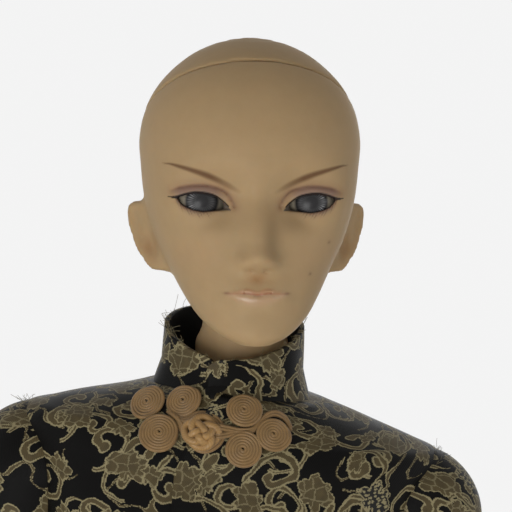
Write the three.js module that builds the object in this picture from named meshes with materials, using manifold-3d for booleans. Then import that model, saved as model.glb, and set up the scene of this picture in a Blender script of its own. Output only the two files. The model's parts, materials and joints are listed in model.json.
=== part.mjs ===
// Ball-jointed doll in a brocade jacket: resin castings strung with elastic cord, at one third of life size.
// Millimetres, +Z up. The doll stands on the floor and faces -Y; its own left side is +X.
import * as THREE from 'three';
import { mergeVertices } from 'three/addons/utils/BufferGeometryUtils.js';
import Module from 'manifold-3d';

const wasm = await Module();
wasm.setup();

// Clearances
const FIT = 0.3;
const JOINT_GAP = 0.3;
const FAR = 400;

// Heights of the joint centres, from the sole up
const ANKLE_HEIGHT = 34;
const SHIN_LENGTH = 143;
const KNEE_SPAN = 18;
const THIGH_LENGTH = 149;
const PELVIS_RISE = 62;
const ABDOMEN_RISE = 32;
const CHEST_RISE = 132;
const SHOULDER_DROP = 56;
const HIP_SPREAD = 32;
const HIP_OPEN = 37;
const SHOULDER_SPREAD = 57;

// Arms
const ARM_LEAN = 9;
const ARM_RISE = 72;
const UPPER_ARM_LENGTH = 104;
const FOREARM_LENGTH = 94;

// Joint balls
const ANKLE_BALL = 9.5;
const KNEE_BALL = 14.5;
const HIP_BALL = 25;
const WAIST_BALL = 26;
const CHEST_BALL = 27;
const NECK_BALL = 13.5;
const SHOULDER_BALL = 13;
const ELBOW_BALL = 9;
const WRIST_BALL = 6.2;

// Belly between the waist ball and the chest ball
const BELLY_HALF = 31;
const BELLY_FRONT = 23.5;
const BELLY_BACK = 22;
const ABDOMEN_LAP = 4;

// Elastic cord and the hooks on it
const CORD = 1.5;
const CORD_PLAY = 0.7;
const NECK_BORE = 5.5;
const HOOK_WIRE = 0.8;
const HAND_HOOK_WIRE = 0.55;
const HOOK_ROOM = 4;
const HAND_HOOK_ROOM = 3;
const HOOK_PLAY = 0.35;
const BAR_WIRE = 1;
const BAR_LENGTH = 16;
const CORD_FORK_GAP = 2.6;

// Head
const HEAD_HEIGHT = 90.5;
const HEAD_DRAWN = 90.5;
const JAW_HEIGHT = 23;
const CHIN_DROP = 10.5;
const HEAD_WIDTH = 65.2;
const HEAD_WALL = 5;
const HEAD_TURN = 4;
const HEAD_LEAN = 6;
const HEAD_RAISE = 4;
const CAP_SLOPE = 31;
const CAP_FRONT_Y = -21;
const CAP_FRONT_DROP = 8;
const EYE_RADIUS = 7;
const EYE_SPACING = 32.4;
const EYE_HEIGHT = 42.3;
const EYE_Y = -20.5;
const EYE_OPEN_WIDTH = 13.5;
const EYE_OPEN_HEIGHT = 5.4;
const PUTTY_THICK = 3;
const PUTTY_OUTER = 6.3;
const PUTTY_INNER = 3.4;
const EAR_HEIGHT = 20;
const EAR_WIDTH = 12;
const EAR_THICK = 3.2;
const EAR_FLARE = 50;
const EAR_Z = 32.5;
const EAR_ROOT_X = 26.5;
const EAR_ROOT_Y = 3;
const NOSE_TIP_Z = 25.5;
const NOSE_REACH = 8.5;
const THROAT_ANGLE = 61;
const MAGNET_RADIUS = 1.1;
const MAGNET_THICK = 1.4;
const MAGNET_INSET = 0.65;

// Torso walls
const TORSO_WALL = 7;
const CHEST_RIM_RISE = 8;
const CAVITY_RISE = 12;
const PELVIS_RIM_DROP = 9;
const CROTCH_DROP = 25;
const CORD_FORK_DROP = 4;
const THIGH_MAX = 27;

// Foot
const FOOT_LENGTH = 88;
const HEEL_BACK = 25;
const FOOT_WIDTH = 35;

// Hand
const PALM_LENGTH = 34;
const PALM_WIDTH = 25;
const PALM_THICK = 10.5;
const FINGER_RADIUS = 3.3;
const FINGER_LENGTHS = [27, 30, 28, 22];

// Jacket
const CLOTH = 1.6;
const HEM_DROP = 30;
const HEM_FOLDS = 7;
const HEM_FOLD_DEPTH = 1.6;
const HEM_FOLD_REACH = 0.45;
const COLLAR_RADIUS = 19.5;
const COLLAR_HEIGHT = 22;
const COLLAR_RISE = 0.3;
const COLLAR_SPREAD = 5;
const COLLAR_OPENING = 2.4;
const COLLAR_DROP = 28;
const COLLAR_SIDES = 20;
const FRONT_OPENING = 0.8;
const SLEEVE_PLAY = 3.6;
const SLEEVE_CUFF = 15.5;
const CUFF_RISE = 9;
const SLEEVE_INSET = 8;

// Frog closure
const FROG_CORD = 0.42;
const FROG_TURNS = 3;
const FROG_PITCH = 1.46;
const FROG_STEPS = 11;
const FROG_SIDES = 4;
const FROG_DROP = 33;
const FROG_TILT = -8;
const KNOT_RADIUS = 1.9;
const FROG_SHIFT = -9;
const FROG_STAND = 0.6;
const FROG_OVERLAP = 4;
const FROG_SLANT = 2.5;
const FROG_WRAP = 46;

// Heights that follow
const LOWER_KNEE_Z = ANKLE_HEIGHT + SHIN_LENGTH;
const UPPER_KNEE_Z = LOWER_KNEE_Z + KNEE_SPAN;
const HIP_Z = UPPER_KNEE_Z + THIGH_LENGTH;
const WAIST_Z = HIP_Z + PELVIS_RISE;
const CHEST_Z = WAIST_Z + ABDOMEN_RISE;
const NECK_Z = CHEST_Z + CHEST_RISE;
const SHOULDER_Z = NECK_Z - SHOULDER_DROP;
const CORD_BORE = CORD + CORD_PLAY;
const HEM_Z = HIP_Z + HEM_DROP;

const radians = THREE.MathUtils.degToRad;
const DOWN = new THREE.Vector3(0, 0, -1);

// Materials
const finish = (color, roughness, metalness = 0) =>
  new THREE.MeshStandardMaterial({ color, roughness, metalness });
const RESIN = finish(0xdcc0a0, 0.5);
const EYE = finish(0x6f747c, 0.15);
const PUTTY = finish(0xe8e4da, 0.8);
const STEEL = finish(0xa8aab0, 0.3, 1);
const ELASTIC = finish(0xf0ece2, 0.85);
const BROCADE = finish(0x1a1812, 0.6);
const GOLD_CORD = finish(0xa5844f, 0.5);

// Closed meshes to solids and back
function solid(geometry) {
  const bare = geometry.clone();
  bare.deleteAttribute('normal');
  bare.deleteAttribute('uv');
  const merged = mergeVertices(bare, 1e-4);
  const corners = merged.index.array;
  const kept = [];
  for (let i = 0; i < corners.length; i += 3) {
    const [a, b, c] = [corners[i], corners[i + 1], corners[i + 2]];
    if (a !== b && b !== c && a !== c) kept.push(a, b, c);
  }
  const vertProperties = new Float32Array(merged.attributes.position.array);
  return new wasm.Manifold(new wasm.Mesh({ numProp: 3, vertProperties, triVerts: new Uint32Array(kept) }));
}

function geometryOf(body) {
  const { vertProperties, triVerts, numProp } = body.getMesh();
  const points = new Float32Array((vertProperties.length / numProp) * 3);
  for (let i = 0; i < points.length / 3; i++) {
    for (let k = 0; k < 3; k++) points[3 * i + k] = vertProperties[numProp * i + k];
  }
  const geometry = new THREE.BufferGeometry();
  geometry.setAttribute('position', new THREE.BufferAttribute(points, 3));
  geometry.setIndex(new THREE.BufferAttribute(new Uint32Array(triVerts), 1));
  return geometry;
}

const join = (first, ...others) => others.reduce((whole, other) => whole.add(other), first);
const cut = (first, ...others) => others.reduce((whole, other) => whole.subtract(other), first);

// The same geometry on the doll's other side
function mirrored(geometry) {
  const whole = geometry.index ? geometry.clone() : geometryOf(solid(geometry));
  const flipped = whole.applyMatrix4(new THREE.Matrix4().makeScale(-1, 1, 1));
  const index = flipped.index.array;
  for (let i = 0; i < index.length; i += 3) [index[i], index[i + 1]] = [index[i + 1], index[i]];
  return flipped;
}

// A closed body through rings of points: each ring is an array of Vector3 of one length
function skin(rings) {
  const sides = rings[0].length;
  const points = rings.flat().flatMap((p) => [p.x, p.y, p.z]);
  const index = [];
  for (let r = 0; r + 1 < rings.length; r++) {
    for (let s = 0; s < sides; s++) {
      const a = r * sides + s;
      const b = r * sides + ((s + 1) % sides);
      index.push(a, b, b + sides, a, b + sides, a + sides);
    }
  }
  const ends = [[0, 1], [rings.length - 1, -1]];
  for (const [r, way] of ends) {
    const middle = new THREE.Vector3();
    rings[r].forEach((p) => middle.addScaledVector(p, 1 / sides));
    const centre = points.length / 3;
    points.push(middle.x, middle.y, middle.z);
    for (let s = 0; s < sides; s++) {
      const a = r * sides + s;
      const b = r * sides + ((s + 1) % sides);
      if (way > 0) index.push(centre, b, a);
      else index.push(centre, a, b);
    }
  }
  const geometry = new THREE.BufferGeometry();
  geometry.setAttribute('position', new THREE.Float32BufferAttribute(points, 3));
  geometry.setIndex(index);
  return geometry;
}

// Values between rows of a table, as a smooth curve through them
function between(rows, t) {
  const place = THREE.MathUtils.clamp(t, 0, 1) * (rows.length - 1);
  const i = Math.min(Math.floor(place), rows.length - 2);
  const f = place - i;
  const row = (k) => rows[THREE.MathUtils.clamp(k, 0, rows.length - 1)];
  return rows[0].map((_, k) => {
    const [p, q, r, s] = [row(i - 1)[k], row(i)[k], row(i + 1)[k], row(i + 2)[k]];
    const slopeA = (r - p) / 2;
    const slopeB = (s - q) / 2;
    const bend = 3 * (r - q) - 2 * slopeA - slopeB;
    return q + f * (slopeA + f * (bend + f * (slopeA + slopeB - 2 * (r - q))));
  });
}

// Level ring: width to each side, depth to the front (-Y) and back (+Y), squareness, slope along Y
function ring([z, y, width, front, back, square, slope = 0], sides) {
  const bent = (v) => Math.sign(v) * Math.abs(v) ** (2 / square);
  return Array.from({ length: sides }, (_, s) => {
    const angle = (2 * Math.PI * (s + 0.5)) / sides;
    const across = bent(Math.sin(angle));
    const depth = across < 0 ? front * across : back * across;
    return new THREE.Vector3(width * bent(Math.cos(angle)), y + depth, z + slope * depth);
  });
}

// Rows run upwards; steps is the number of rings between the first row and the last
function loft(rows, sides, steps) {
  const full = rows.map(([z, y, width, front, back, square = 2, slope = 0]) =>
    [z, y, width, front, back, square, slope]);
  return skin(Array.from({ length: steps + 1 }, (_, i) => ring(between(full, i / steps), sides)));
}

// Primitive solids, placed
const ballRows = (around) => Math.round(around * 0.6);
const ball = (radius, at = [0, 0, 0], around = 12) =>
  solid(new THREE.SphereGeometry(radius, around, ballRows(around)).translate(...at));

// Hollow for a ball: its flats keep the clearance and face the ball's corners
const cupRows = (around) => ballRows(around) - 1;
const flatOf = (around) => Math.cos(Math.PI / around) * Math.cos(Math.PI / (2 * cupRows(around)));
const cup = (radius, at, around = 12) => solid(
  new THREE.SphereGeometry((radius + JOINT_GAP) / flatOf(around), around, cupRows(around))
    .rotateY(Math.PI / around).translate(...at),
);

function rod(from, to, radius, sides = 6) {
  const [a, b] = [new THREE.Vector3(...from), new THREE.Vector3(...to)];
  const length = a.distanceTo(b);
  const way = b.clone().sub(a).normalize();
  const turn = new THREE.Quaternion().setFromUnitVectors(new THREE.Vector3(0, 1, 0), way);
  const geometry = new THREE.CylinderGeometry(radius, radius, length, sides);
  geometry.applyQuaternion(turn);
  const middle = a.add(b).multiplyScalar(0.5);
  return geometry.translate(middle.x, middle.y, middle.z);
}

// Slot across a ball in its XZ plane, between two directions, for the cord to pass at every angle
function slot(at, fromDegrees, toDegrees) {
  const half = CORD_BORE;
  const spread = radians(toDegrees - fromDegrees);
  const [reach, edge] = [FAR / 10, half / Math.cos(spread / 2)];
  const outline = new THREE.Shape();
  outline.moveTo(-half, 0);
  outline.lineTo(0, -half);
  outline.lineTo(reach, -half);
  outline.lineTo(reach * Math.cos(spread / 2) + edge, reach * Math.sin(spread / 2));
  const [across, along] = [Math.cos(spread), Math.sin(spread)];
  outline.lineTo(reach * across - half * along, reach * along + half * across);
  outline.lineTo(-half * Math.sin(spread), half * Math.cos(spread));
  outline.closePath();
  const prism = new THREE.ExtrudeGeometry(outline, { depth: 2 * half, bevelEnabled: false });
  prism.translate(0, 0, -half).rotateX(Math.PI / 2).rotateY(-radians(fromDegrees));
  return solid(prism.translate(...at));
}

const block = (size, at) => solid(new THREE.BoxGeometry(...size).translate(...at));

// Tapering limb along a path, with one radius for each point, ending in a dome
function taper(points, radii, sides) {
  const path = new THREE.CatmullRomCurve3(points.map((p) => new THREE.Vector3(...p)));
  const steps = points.length;
  const frames = path.computeFrenetFrames(steps);
  const circle = (at, k, radius) => Array.from({ length: sides }, (_, s) => {
    const angle = (2 * Math.PI * s) / sides;
    return at.clone()
      .addScaledVector(frames.normals[k], radius * Math.cos(angle))
      .addScaledVector(frames.binormals[k], radius * Math.sin(angle));
  });
  const rings = [];
  for (let k = 0; k <= steps; k++) {
    const [radius] = between(radii.map((r) => [r]), k / steps);
    rings.push(circle(path.getPoint(k / steps), k, radius));
  }
  const tip = radii[radii.length - 1];
  const end = path.getPoint(1);
  for (const rise of [45, 80]) {
    const at = end.clone().addScaledVector(frames.tangents[steps], tip * Math.sin(radians(rise)));
    rings.push(circle(at, steps, tip * Math.cos(radians(rise))));
  }
  return skin(rings);
}

// Round wire or cord along a curve
function wire(points, radius, steps, sides = 8) {
  const path = new THREE.CatmullRomCurve3(points.map((p) => new THREE.Vector3(...p)), false, 'centripetal');
  const turn = (s) => (2 * Math.PI * s) / sides;
  const corner = (s) => [radius * Math.cos(turn(s)), radius * Math.sin(turn(s))];
  const section = new THREE.Shape(Array.from({ length: sides }, (_, s) => new THREE.Vector2(...corner(s))));
  return new THREE.ExtrudeGeometry(section, { extrudePath: path, steps });
}

// Head, in a frame whose origin is the chin: height, middle, half width, front, back, squareness
const HEAD_HALF = HEAD_WIDTH / 2;
const HEAD_STRETCH = (HEAD_HEIGHT - JAW_HEIGHT) / (HEAD_DRAWN - JAW_HEIGHT);
const HEAD_ROWS = [
  [0.3, -27, 4.5, 6, 6, 2],
  [3, -25, 9.6, 9.6, 12, 2.1],
  [8, -17, 15, 17.8, 20, 2.2],
  [15, -8, 19.6, 26.6, 30, 2.3],
  [JAW_HEIGHT, -2, 23.8, 31.5, 33, 2.3],
  [32, 1, 28, 34.0, 35, 2.3],
  [43, 2, 31, 35.2, 37, 2.3],
  [53, 2, 32.2, 37.4, 38, 2.25],
  [61, 2, HEAD_HALF, 37.4, 38, 2.2],
  [70, 2, 30.6, 34.5, 36, 2.15],
  [78, 2, 25.8, 29, 31, 2.1],
  [85, 2, 18, 20, 22, 2],
  [89, 2, 9.6, 10.5, 12, 2],
  [HEAD_DRAWN, 2, 2.2, 2.4, 2.6, 2],
].map(([z, ...section]) => [z + Math.max(0, z - JAW_HEIGHT) * (HEAD_STRETCH - 1), ...section]);

function shrunk(rows, wall) {
  return rows.map(([z, y, width, front, back, square]) =>
    [z, y, width - wall, front - wall, back - wall, square]);
}

const EYE_X = EYE_SPACING / 2;

function almond() {
  const [w, h] = [EYE_OPEN_WIDTH / 2, EYE_OPEN_HEIGHT / 2];
  const outline = new THREE.Shape();
  outline.moveTo(-w, -h * 0.3);
  outline.quadraticCurveTo(-w * 0.3, h * 1.5, w, h * 0.5);
  outline.quadraticCurveTo(w * 0.4, -h * 1.5, -w, -h * 0.3);
  const shape = { depth: FAR / 10, bevelEnabled: false, curveSegments: 3 };
  const prism = new THREE.ExtrudeGeometry(outline, shape);
  return prism.rotateX(Math.PI / 2).translate(EYE_X, EYE_Y, EYE_HEIGHT);
}

function eyeWell() {
  const well = rod([EYE_X, EYE_Y, EYE_HEIGHT], [EYE_X, 0, EYE_HEIGHT], EYE_RADIUS + FIT, 12);
  return join(ball(EYE_RADIUS + FIT, [EYE_X, EYE_Y, EYE_HEIGHT], 12), solid(well));
}

function ear() {
  const [w, h] = [EAR_WIDTH / 2, EAR_HEIGHT / 2];
  const outline = new THREE.Shape();
  outline.moveTo(-w, h * 0.5);
  outline.quadraticCurveTo(-w * 0.7, h, w * 0.2, h);
  outline.quadraticCurveTo(w * 1.1, h * 0.95, w, h * 0.3);
  outline.quadraticCurveTo(w * 0.8, -h * 0.4, w * 0.1, -h * 0.8);
  outline.quadraticCurveTo(-w * 0.3, -h * 1.15, -w * 0.8, -h * 0.8);
  outline.closePath();
  const plate = new THREE.ExtrudeGeometry(outline, {
    depth: EAR_THICK, bevelEnabled: true, bevelSize: 0.8, bevelThickness: 0.8,
    bevelSegments: 1, curveSegments: 2,
  });
  plate.translate(w, 0, -EAR_THICK / 2).rotateX(Math.PI / 2).rotateZ(Math.PI / 2 - radians(EAR_FLARE));
  return plate.translate(EAR_ROOT_X, EAR_ROOT_Y, EAR_Z);
}

const nose = () => loft([
  [NOSE_TIP_Z - 3.5, -32, 3.2, 1.2, 3],
  [NOSE_TIP_Z - 1.5, -33.5, 4.6, NOSE_REACH - 2, 3],
  [NOSE_TIP_Z + 2, -33.5, 3.6, NOSE_REACH - 1.5, 3],
  [NOSE_TIP_Z + 9, -33, 2.4, 4.4, 3],
  [NOSE_TIP_Z + 17, -34, 2.2, 1.4, 3],
], 8, 5);

// Half of space above the cap's cut, a given distance off the plane
function aboveCap(offset) {
  const slab = new THREE.BoxGeometry(FAR, FAR, FAR).translate(0, 0, FAR / 2 + offset);
  slab.rotateX(-radians(CAP_SLOPE));
  return solid(slab.translate(0, CAP_FRONT_Y, HEAD_HEIGHT - CAP_FRONT_DROP));
}

const NECK_IN_HEAD = [0, 2, CHIN_DROP];

// Magnets sit in the rim on the cap's cut, at the back of the head
function magnetPlace() {
  const [, middleY, , , behind] = HEAD_ROWS.find(([, , halfWidth]) => halfWidth === HEAD_HALF);
  const back = middleY + behind - HEAD_WALL / 2 - MAGNET_INSET;
  return (back - CAP_FRONT_Y) / Math.cos(radians(CAP_SLOPE));
}

function magnet(offset, radius, thick) {
  const disc = new THREE.CylinderGeometry(radius, radius, thick, 8).rotateX(Math.PI / 2);
  disc.translate(0, magnetPlace(), offset).rotateX(-radians(CAP_SLOPE));
  return disc.translate(0, CAP_FRONT_Y, HEAD_HEIGHT - CAP_FRONT_DROP);
}

const MAGNET_REST = FIT / 2 + FIT + MAGNET_THICK / 2;

// Pocket for a magnet, open at the cap's cut
function magnetPocket(offset) {
  const middle = offset - Math.sign(offset) * FIT;
  return solid(magnet(middle, MAGNET_RADIUS + FIT, MAGNET_THICK + 4 * FIT));
}

function headWhole() {
  const outside = join(
    solid(loft(HEAD_ROWS, 20, 13)), solid(nose()), solid(ear()), solid(mirrored(ear())),
  );
  const hollow = solid(loft(shrunk(HEAD_ROWS.slice(4, 12), HEAD_WALL), 12, 6));
  const well = geometryOf(eyeWell());
  const opening = geometryOf(solid(almond()));
  const bothSides = [well, mirrored(well), opening, mirrored(opening)].map(solid);
  const socket = cup(NECK_BALL, NECK_IN_HEAD, 14);
  const flare = FAR / 4 * Math.tan(radians(THROAT_ANGLE));
  const throat = new THREE.ConeGeometry(flare, FAR / 4, 14).rotateX(Math.PI / 2);
  throat.translate(NECK_IN_HEAD[0], NECK_IN_HEAD[1], NECK_IN_HEAD[2] - FAR / 8);
  return cut(outside, hollow, ...bothSides, socket, solid(throat));
}

const headSolid = headWhole();
const headShell = () => geometryOf(cut(headSolid, aboveCap(-FIT / 2), magnetPocket(-MAGNET_REST)));
const headCap = () => geometryOf(cut(headSolid.intersect(aboveCap(FIT / 2)), magnetPocket(MAGNET_REST)));

function eye() {
  const front = ball(EYE_RADIUS, [0, 0, 0], 12).subtract(block([FAR, FAR, FAR], [0, FAR / 2, 0]));
  return geometryOf(front).translate(EYE_X, EYE_Y, EYE_HEIGHT);
}

function putty() {
  const outline = [
    [PUTTY_INNER, 0], [PUTTY_OUTER, 0], [PUTTY_OUTER, PUTTY_THICK], [PUTTY_INNER, PUTTY_THICK],
  ];
  const profile = [...outline, outline[0]].map(([r, h]) => new THREE.Vector2(r, h));
  return geometryOf(solid(new THREE.LatheGeometry(profile, 12).translate(EYE_X, EYE_Y + FIT, EYE_HEIGHT)));
}

// Torso, in the doll's frame: height, middle, half width, front, back, squareness
const CHEST_RIM = CHEST_Z + CHEST_RIM_RISE;
const CHEST_ROWS = [
  [CHEST_RIM, 0, 41, 28, 26, 2.3],
  [CHEST_RIM + 14, 0, 44, 32, 29, 2.3],
  [SHOULDER_Z - 32, 0, 47, 35, 32, 2.4],
  [SHOULDER_Z - 16, 0, 48.5, 34, 33, 2.4],
  [SHOULDER_Z, 1, 50, 30, 31, 2.4],
  [SHOULDER_Z + 12, 2, 42, 24, 27, 2.2],
  [SHOULDER_Z + 20, 2, 29, 19, 23, 2.1],
  [SHOULDER_Z + 28, 2, 17.5, 15, 18, 2],
  [NECK_Z - 22, 2, NECK_BALL, 12.6, 14, 2],
  [NECK_Z - 10, 2, 12.4, 11.8, 12.6, 2],
  [NECK_Z - 2, 2, 12.6, 12.6, 12.6, 2],
];
const NECK_AT = [0, 2, NECK_Z];
const SHOULDER_AT = [SHOULDER_SPREAD, 2, SHOULDER_Z];
const HIP_AT = [HIP_SPREAD, 0, HIP_Z];

const SWEEP_SIDES = 8;
const SWEEP_REACH = 60;

// How far each limb swings forward and spreads outward, in degrees, where its casting needs room
const ARM_SWEEPS = [[0, ARM_LEAN], [45, ARM_LEAN], [90, ARM_LEAN], [-40, ARM_LEAN]];
const LEG_SWEEPS = [[0, 0], [45, 0], [90, 0], [-15, 0], [90, 35], [30, 35]];

// A limb's sweep round its ball, cut from the casting that holds the ball
function sweep(at, radius, poses) {
  return poses.map(([swing, spread]) => {
    const way = DOWN.clone()
      .applyAxisAngle(new THREE.Vector3(0, -1, 0), radians(spread))
      .applyAxisAngle(new THREE.Vector3(-1, 0, 0), radians(swing));
    const end = new THREE.Vector3(...at).addScaledVector(way, SWEEP_REACH);
    return solid(rod(at, end.toArray(), radius / Math.cos(Math.PI / SWEEP_SIDES), SWEEP_SIDES));
  });
}

const bothSides = (body) => [body, solid(mirrored(geometryOf(body)))];

function chest() {
  const outside = join(solid(loft(CHEST_ROWS, 16, 10)), ball(NECK_BALL, NECK_AT, 14));
  const cavityRows = shrunk(CHEST_ROWS.slice(0, 6), 2 * TORSO_WALL)
    .map((row, i) => [row[0] + CAVITY_RISE + i, ...row.slice(1)]);
  const clear = sweep(SHOULDER_AT, SHOULDER_BALL + JOINT_GAP, ARM_SWEEPS);
  const socket = join(cup(SHOULDER_BALL, SHOULDER_AT, 12), ...clear);
  return geometryOf(cut(
    outside,
    cup(CHEST_BALL, [0, 0, CHEST_Z]),
    solid(loft(cavityRows, 8, 3)),
    ...bothSides(socket),
    solid(rod([-SHOULDER_SPREAD, 2, SHOULDER_Z], SHOULDER_AT, CORD_BORE)),
    solid(rod([0, 2, CHEST_Z], [0, 2, NECK_Z + FAR], NECK_BORE, 8)),
  ));
}

function abdomen() {
  const middle = loft([
    [WAIST_Z - ABDOMEN_LAP, 0, BELLY_HALF - 7, BELLY_FRONT - 1.5, BELLY_BACK - 1, 2],
    [WAIST_Z + ABDOMEN_LAP, 0, BELLY_HALF - 2, BELLY_FRONT, BELLY_BACK, 2.1],
    [WAIST_Z + ABDOMEN_RISE / 2, 0, BELLY_HALF, BELLY_FRONT, BELLY_BACK, 2.2],
    [CHEST_Z - ABDOMEN_LAP, 0, BELLY_HALF - 2, BELLY_FRONT, BELLY_BACK, 2.1],
    [CHEST_Z + ABDOMEN_LAP - 1, 0, BELLY_HALF - 6, BELLY_FRONT - 0.5, BELLY_BACK, 2],
  ], 14, 3);
  const outside = join(solid(middle), ball(WAIST_BALL, [0, 0, WAIST_Z]), ball(CHEST_BALL, [0, 0, CHEST_Z]));
  return geometryOf(cut(outside, solid(rod([0, 0, WAIST_Z - FAR], [0, 0, CHEST_Z + FAR], CORD_BORE))));
}

const PELVIS_RIM = WAIST_Z - PELVIS_RIM_DROP;
const CROTCH_Z = HIP_Z - CROTCH_DROP;
const PELVIS_ROWS = [
  [CROTCH_Z, 2, 6, 9, 11, 2],
  [CROTCH_Z + 8, 2, 22, 20, 24, 2.2],
  [HIP_Z - 3, 2, 44, 28, 34, 2.3],
  [HIP_Z + 14, 1, 51, 31, 35, 2.4],
  [HIP_Z + 28, 0, 50, 31, 33, 2.4],
  [HIP_Z + 42, 0, 46, 29, 28, 2.3],
  [PELVIS_RIM, 0, 42, 27, 25, 2.3],
];
const CORD_FORK_Z = WAIST_Z - WAIST_BALL - CORD_FORK_DROP;
const HIP_CORD_WAY = new THREE.Vector3(0, 0, CORD_FORK_Z).sub(new THREE.Vector3(...HIP_AT)).normalize();

function pelvis() {
  const thighRoom = sweep(HIP_AT, THIGH_MAX + JOINT_GAP, LEG_SWEEPS);
  const socket = join(cup(HIP_BALL, HIP_AT), ...thighRoom);
  const throughHip = solid(rod([0, 0, CORD_FORK_Z], HIP_AT, CORD_BORE));
  return geometryOf(cut(
    solid(loft(PELVIS_ROWS, 16, 7)),
    cup(WAIST_BALL, [0, 0, WAIST_Z]),
    ...bothSides(socket),
    ...bothSides(throughHip),
    solid(rod([0, 0, CORD_FORK_Z - CORD_BORE], [0, 0, WAIST_Z], CORD_BORE)),
  ));
}

// Leg pieces, for the doll's left side
function thigh() {
  const bottom = UPPER_KNEE_Z + 5;
  const shape = loft([
    [bottom, 0, 16.5, 16.5, 15.5, 2.1, 0.4],
    [bottom + 16, 0, 18, 18, 16.8, 2, 0.2],
    [bottom + 45, 0, 21.5, 22, 20.5, 2],
    [bottom + 80, 0, 24.5, 25, 24, 2],
    [bottom + 115, 0, 25.2, 25.6, 25.6, 2],
    [HIP_Z, 0, HIP_BALL - FIT, HIP_BALL - FIT, HIP_BALL - FIT, 2],
  ], 12, 5);
  const cordAngle = THREE.MathUtils.radToDeg(Math.atan2(HIP_CORD_WAY.z, HIP_CORD_WAY.x));
  return geometryOf(cut(
    join(solid(shape), ball(HIP_BALL, [0, 0, HIP_Z])),
    cup(KNEE_BALL, [0, 0, UPPER_KNEE_Z]),
    solid(rod([0, 0, UPPER_KNEE_Z], [0, 0, HIP_Z], CORD_BORE)),
    slot([0, 0, HIP_Z], cordAngle - HIP_OPEN, cordAngle),
  )).translate(HIP_SPREAD, 0, 0);
}

function kneeJoint() {
  const neck = loft([
    [LOWER_KNEE_Z, 0, 12.4, 14, 10.5, 2],
    [LOWER_KNEE_Z + KNEE_SPAN / 2, 0, 12.4, 14.6, 10, 2],
    [UPPER_KNEE_Z, 0, 12.4, 14, 10.5, 2],
  ], 12, 1);
  const outside = join(
    solid(neck), ball(KNEE_BALL, [0, 0, LOWER_KNEE_Z]), ball(KNEE_BALL, [0, 0, UPPER_KNEE_Z]),
  );
  const bore = solid(rod([0, 0, LOWER_KNEE_Z - FAR], [0, 0, UPPER_KNEE_Z + FAR], CORD_BORE));
  return geometryOf(cut(outside, bore)).translate(HIP_SPREAD, 0, 0);
}

function shin() {
  const top = LOWER_KNEE_Z - 5;
  const bottom = ANKLE_HEIGHT + 3;
  const shape = loft([
    [bottom, 0, 11.6, 11.6, 11.6, 2],
    [bottom + 12, 0, 11, 11, 11.4, 2],
    [bottom + 38, 0, 12, 12, 13, 2],
    [bottom + 72, 0, 15.6, 14.4, 18.6, 2],
    [bottom + 105, 0, 17.4, 15.6, 19.4, 2, -0.1],
    [top, 0, 16.4, 16.4, 15.8, 2.1, -0.4],
  ], 12, 6);
  return geometryOf(cut(
    solid(shape),
    cup(KNEE_BALL, [0, 0, LOWER_KNEE_Z]),
    cup(ANKLE_BALL, [0, 0, ANKLE_HEIGHT], 12),
    solid(rod([0, 0, ANKLE_HEIGHT], [0, 0, LOWER_KNEE_Z], CORD_BORE)),
  )).translate(HIP_SPREAD, 0, 0);
}

// Foot rows run from the heel to the toes: distance, height of the middle, half width, rise above, depth
// below
const FOOT_HALF = FOOT_WIDTH / 2;
const FOOT_ROWS = [
  [0, 11, 4, 5, 8, 2],
  [5, 11, 10.5, 11, 12, 2.1],
  [16, 11, 13.5, 14, 13, 2.2],
  [30, 11, 14, 15.5, 13, 2.2],
  [46, 10, 15.5, 12.5, 12, 2.3],
  [60, 8, FOOT_HALF, 9.5, 10, 2.3],
  [72, 6, FOOT_HALF, 6.5, 8, 2.4],
  [80, 5, FOOT_HALF - 3.5, 4, 7, 2.4],
];
const TOES = [[-11.4, 88, 5.2], [-3.4, 86, 4], [3, 83.5, 3.8], [8.6, 80, 3.6], [13.2, 75.5, 3.4]];

function foot() {
  const stretch = FOOT_LENGTH / TOES[0][1];
  const rows = FOOT_ROWS.map(([along, ...rest]) => [along * stretch, ...rest]);
  const body = loft(rows, 10, 7).rotateX(Math.PI / 2).translate(0, HEEL_BACK, 0);
  const toes = TOES.map(([x, reach, radius]) => solid(taper([
    [x * 0.9, HEEL_BACK - (reach - 22) * stretch, radius + 1.5],
    [x, HEEL_BACK - (reach - 10) * stretch, radius + 0.8],
    [x, HEEL_BACK - (reach - radius) * stretch, radius - 0.2],
  ], [radius * 0.9, radius, radius * 0.92], 5)));
  const ankleNeck = loft([
    [15, 2, 11.5, 13, 12, 2],
    [ANKLE_HEIGHT - 8, 0, 8.4, 8.4, 8.4, 2],
    [ANKLE_HEIGHT, 0, 7.4, 7.4, 7.4, 2],
  ], 8, 2);
  const whole = join(solid(body), solid(ankleNeck), ball(ANKLE_BALL, [0, 0, ANKLE_HEIGHT], 10), ...toes);
  return geometryOf(cut(
    whole,
    block([FAR, FAR, FAR], [0, 0, -FAR / 2]),
    solid(rod([0, 0, ANKLE_HEIGHT - HOOK_ROOM], [0, 0, ANKLE_HEIGHT + FAR], HOOK_ROOM, 8)),
  )).translate(HIP_SPREAD, 0, 0);
}

// S-shaped hook that stays within a sphere round its joint
function hook(reach, wireRadius) {
  const [w, h] = [(reach - wireRadius) * 0.62, reach - wireRadius];
  return wire([
    [-w * 0.9, 0, h * 0.55], [-w * 0.3, 0, h], [w * 0.8, 0, h * 0.75], [w * 0.5, 0, h * 0.1],
    [-w * 0.5, 0, -h * 0.1], [-w * 0.8, 0, -h * 0.75], [w * 0.3, 0, -h], [w * 0.9, 0, -h * 0.55],
  ], wireRadius, 10, 4);
}

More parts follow.
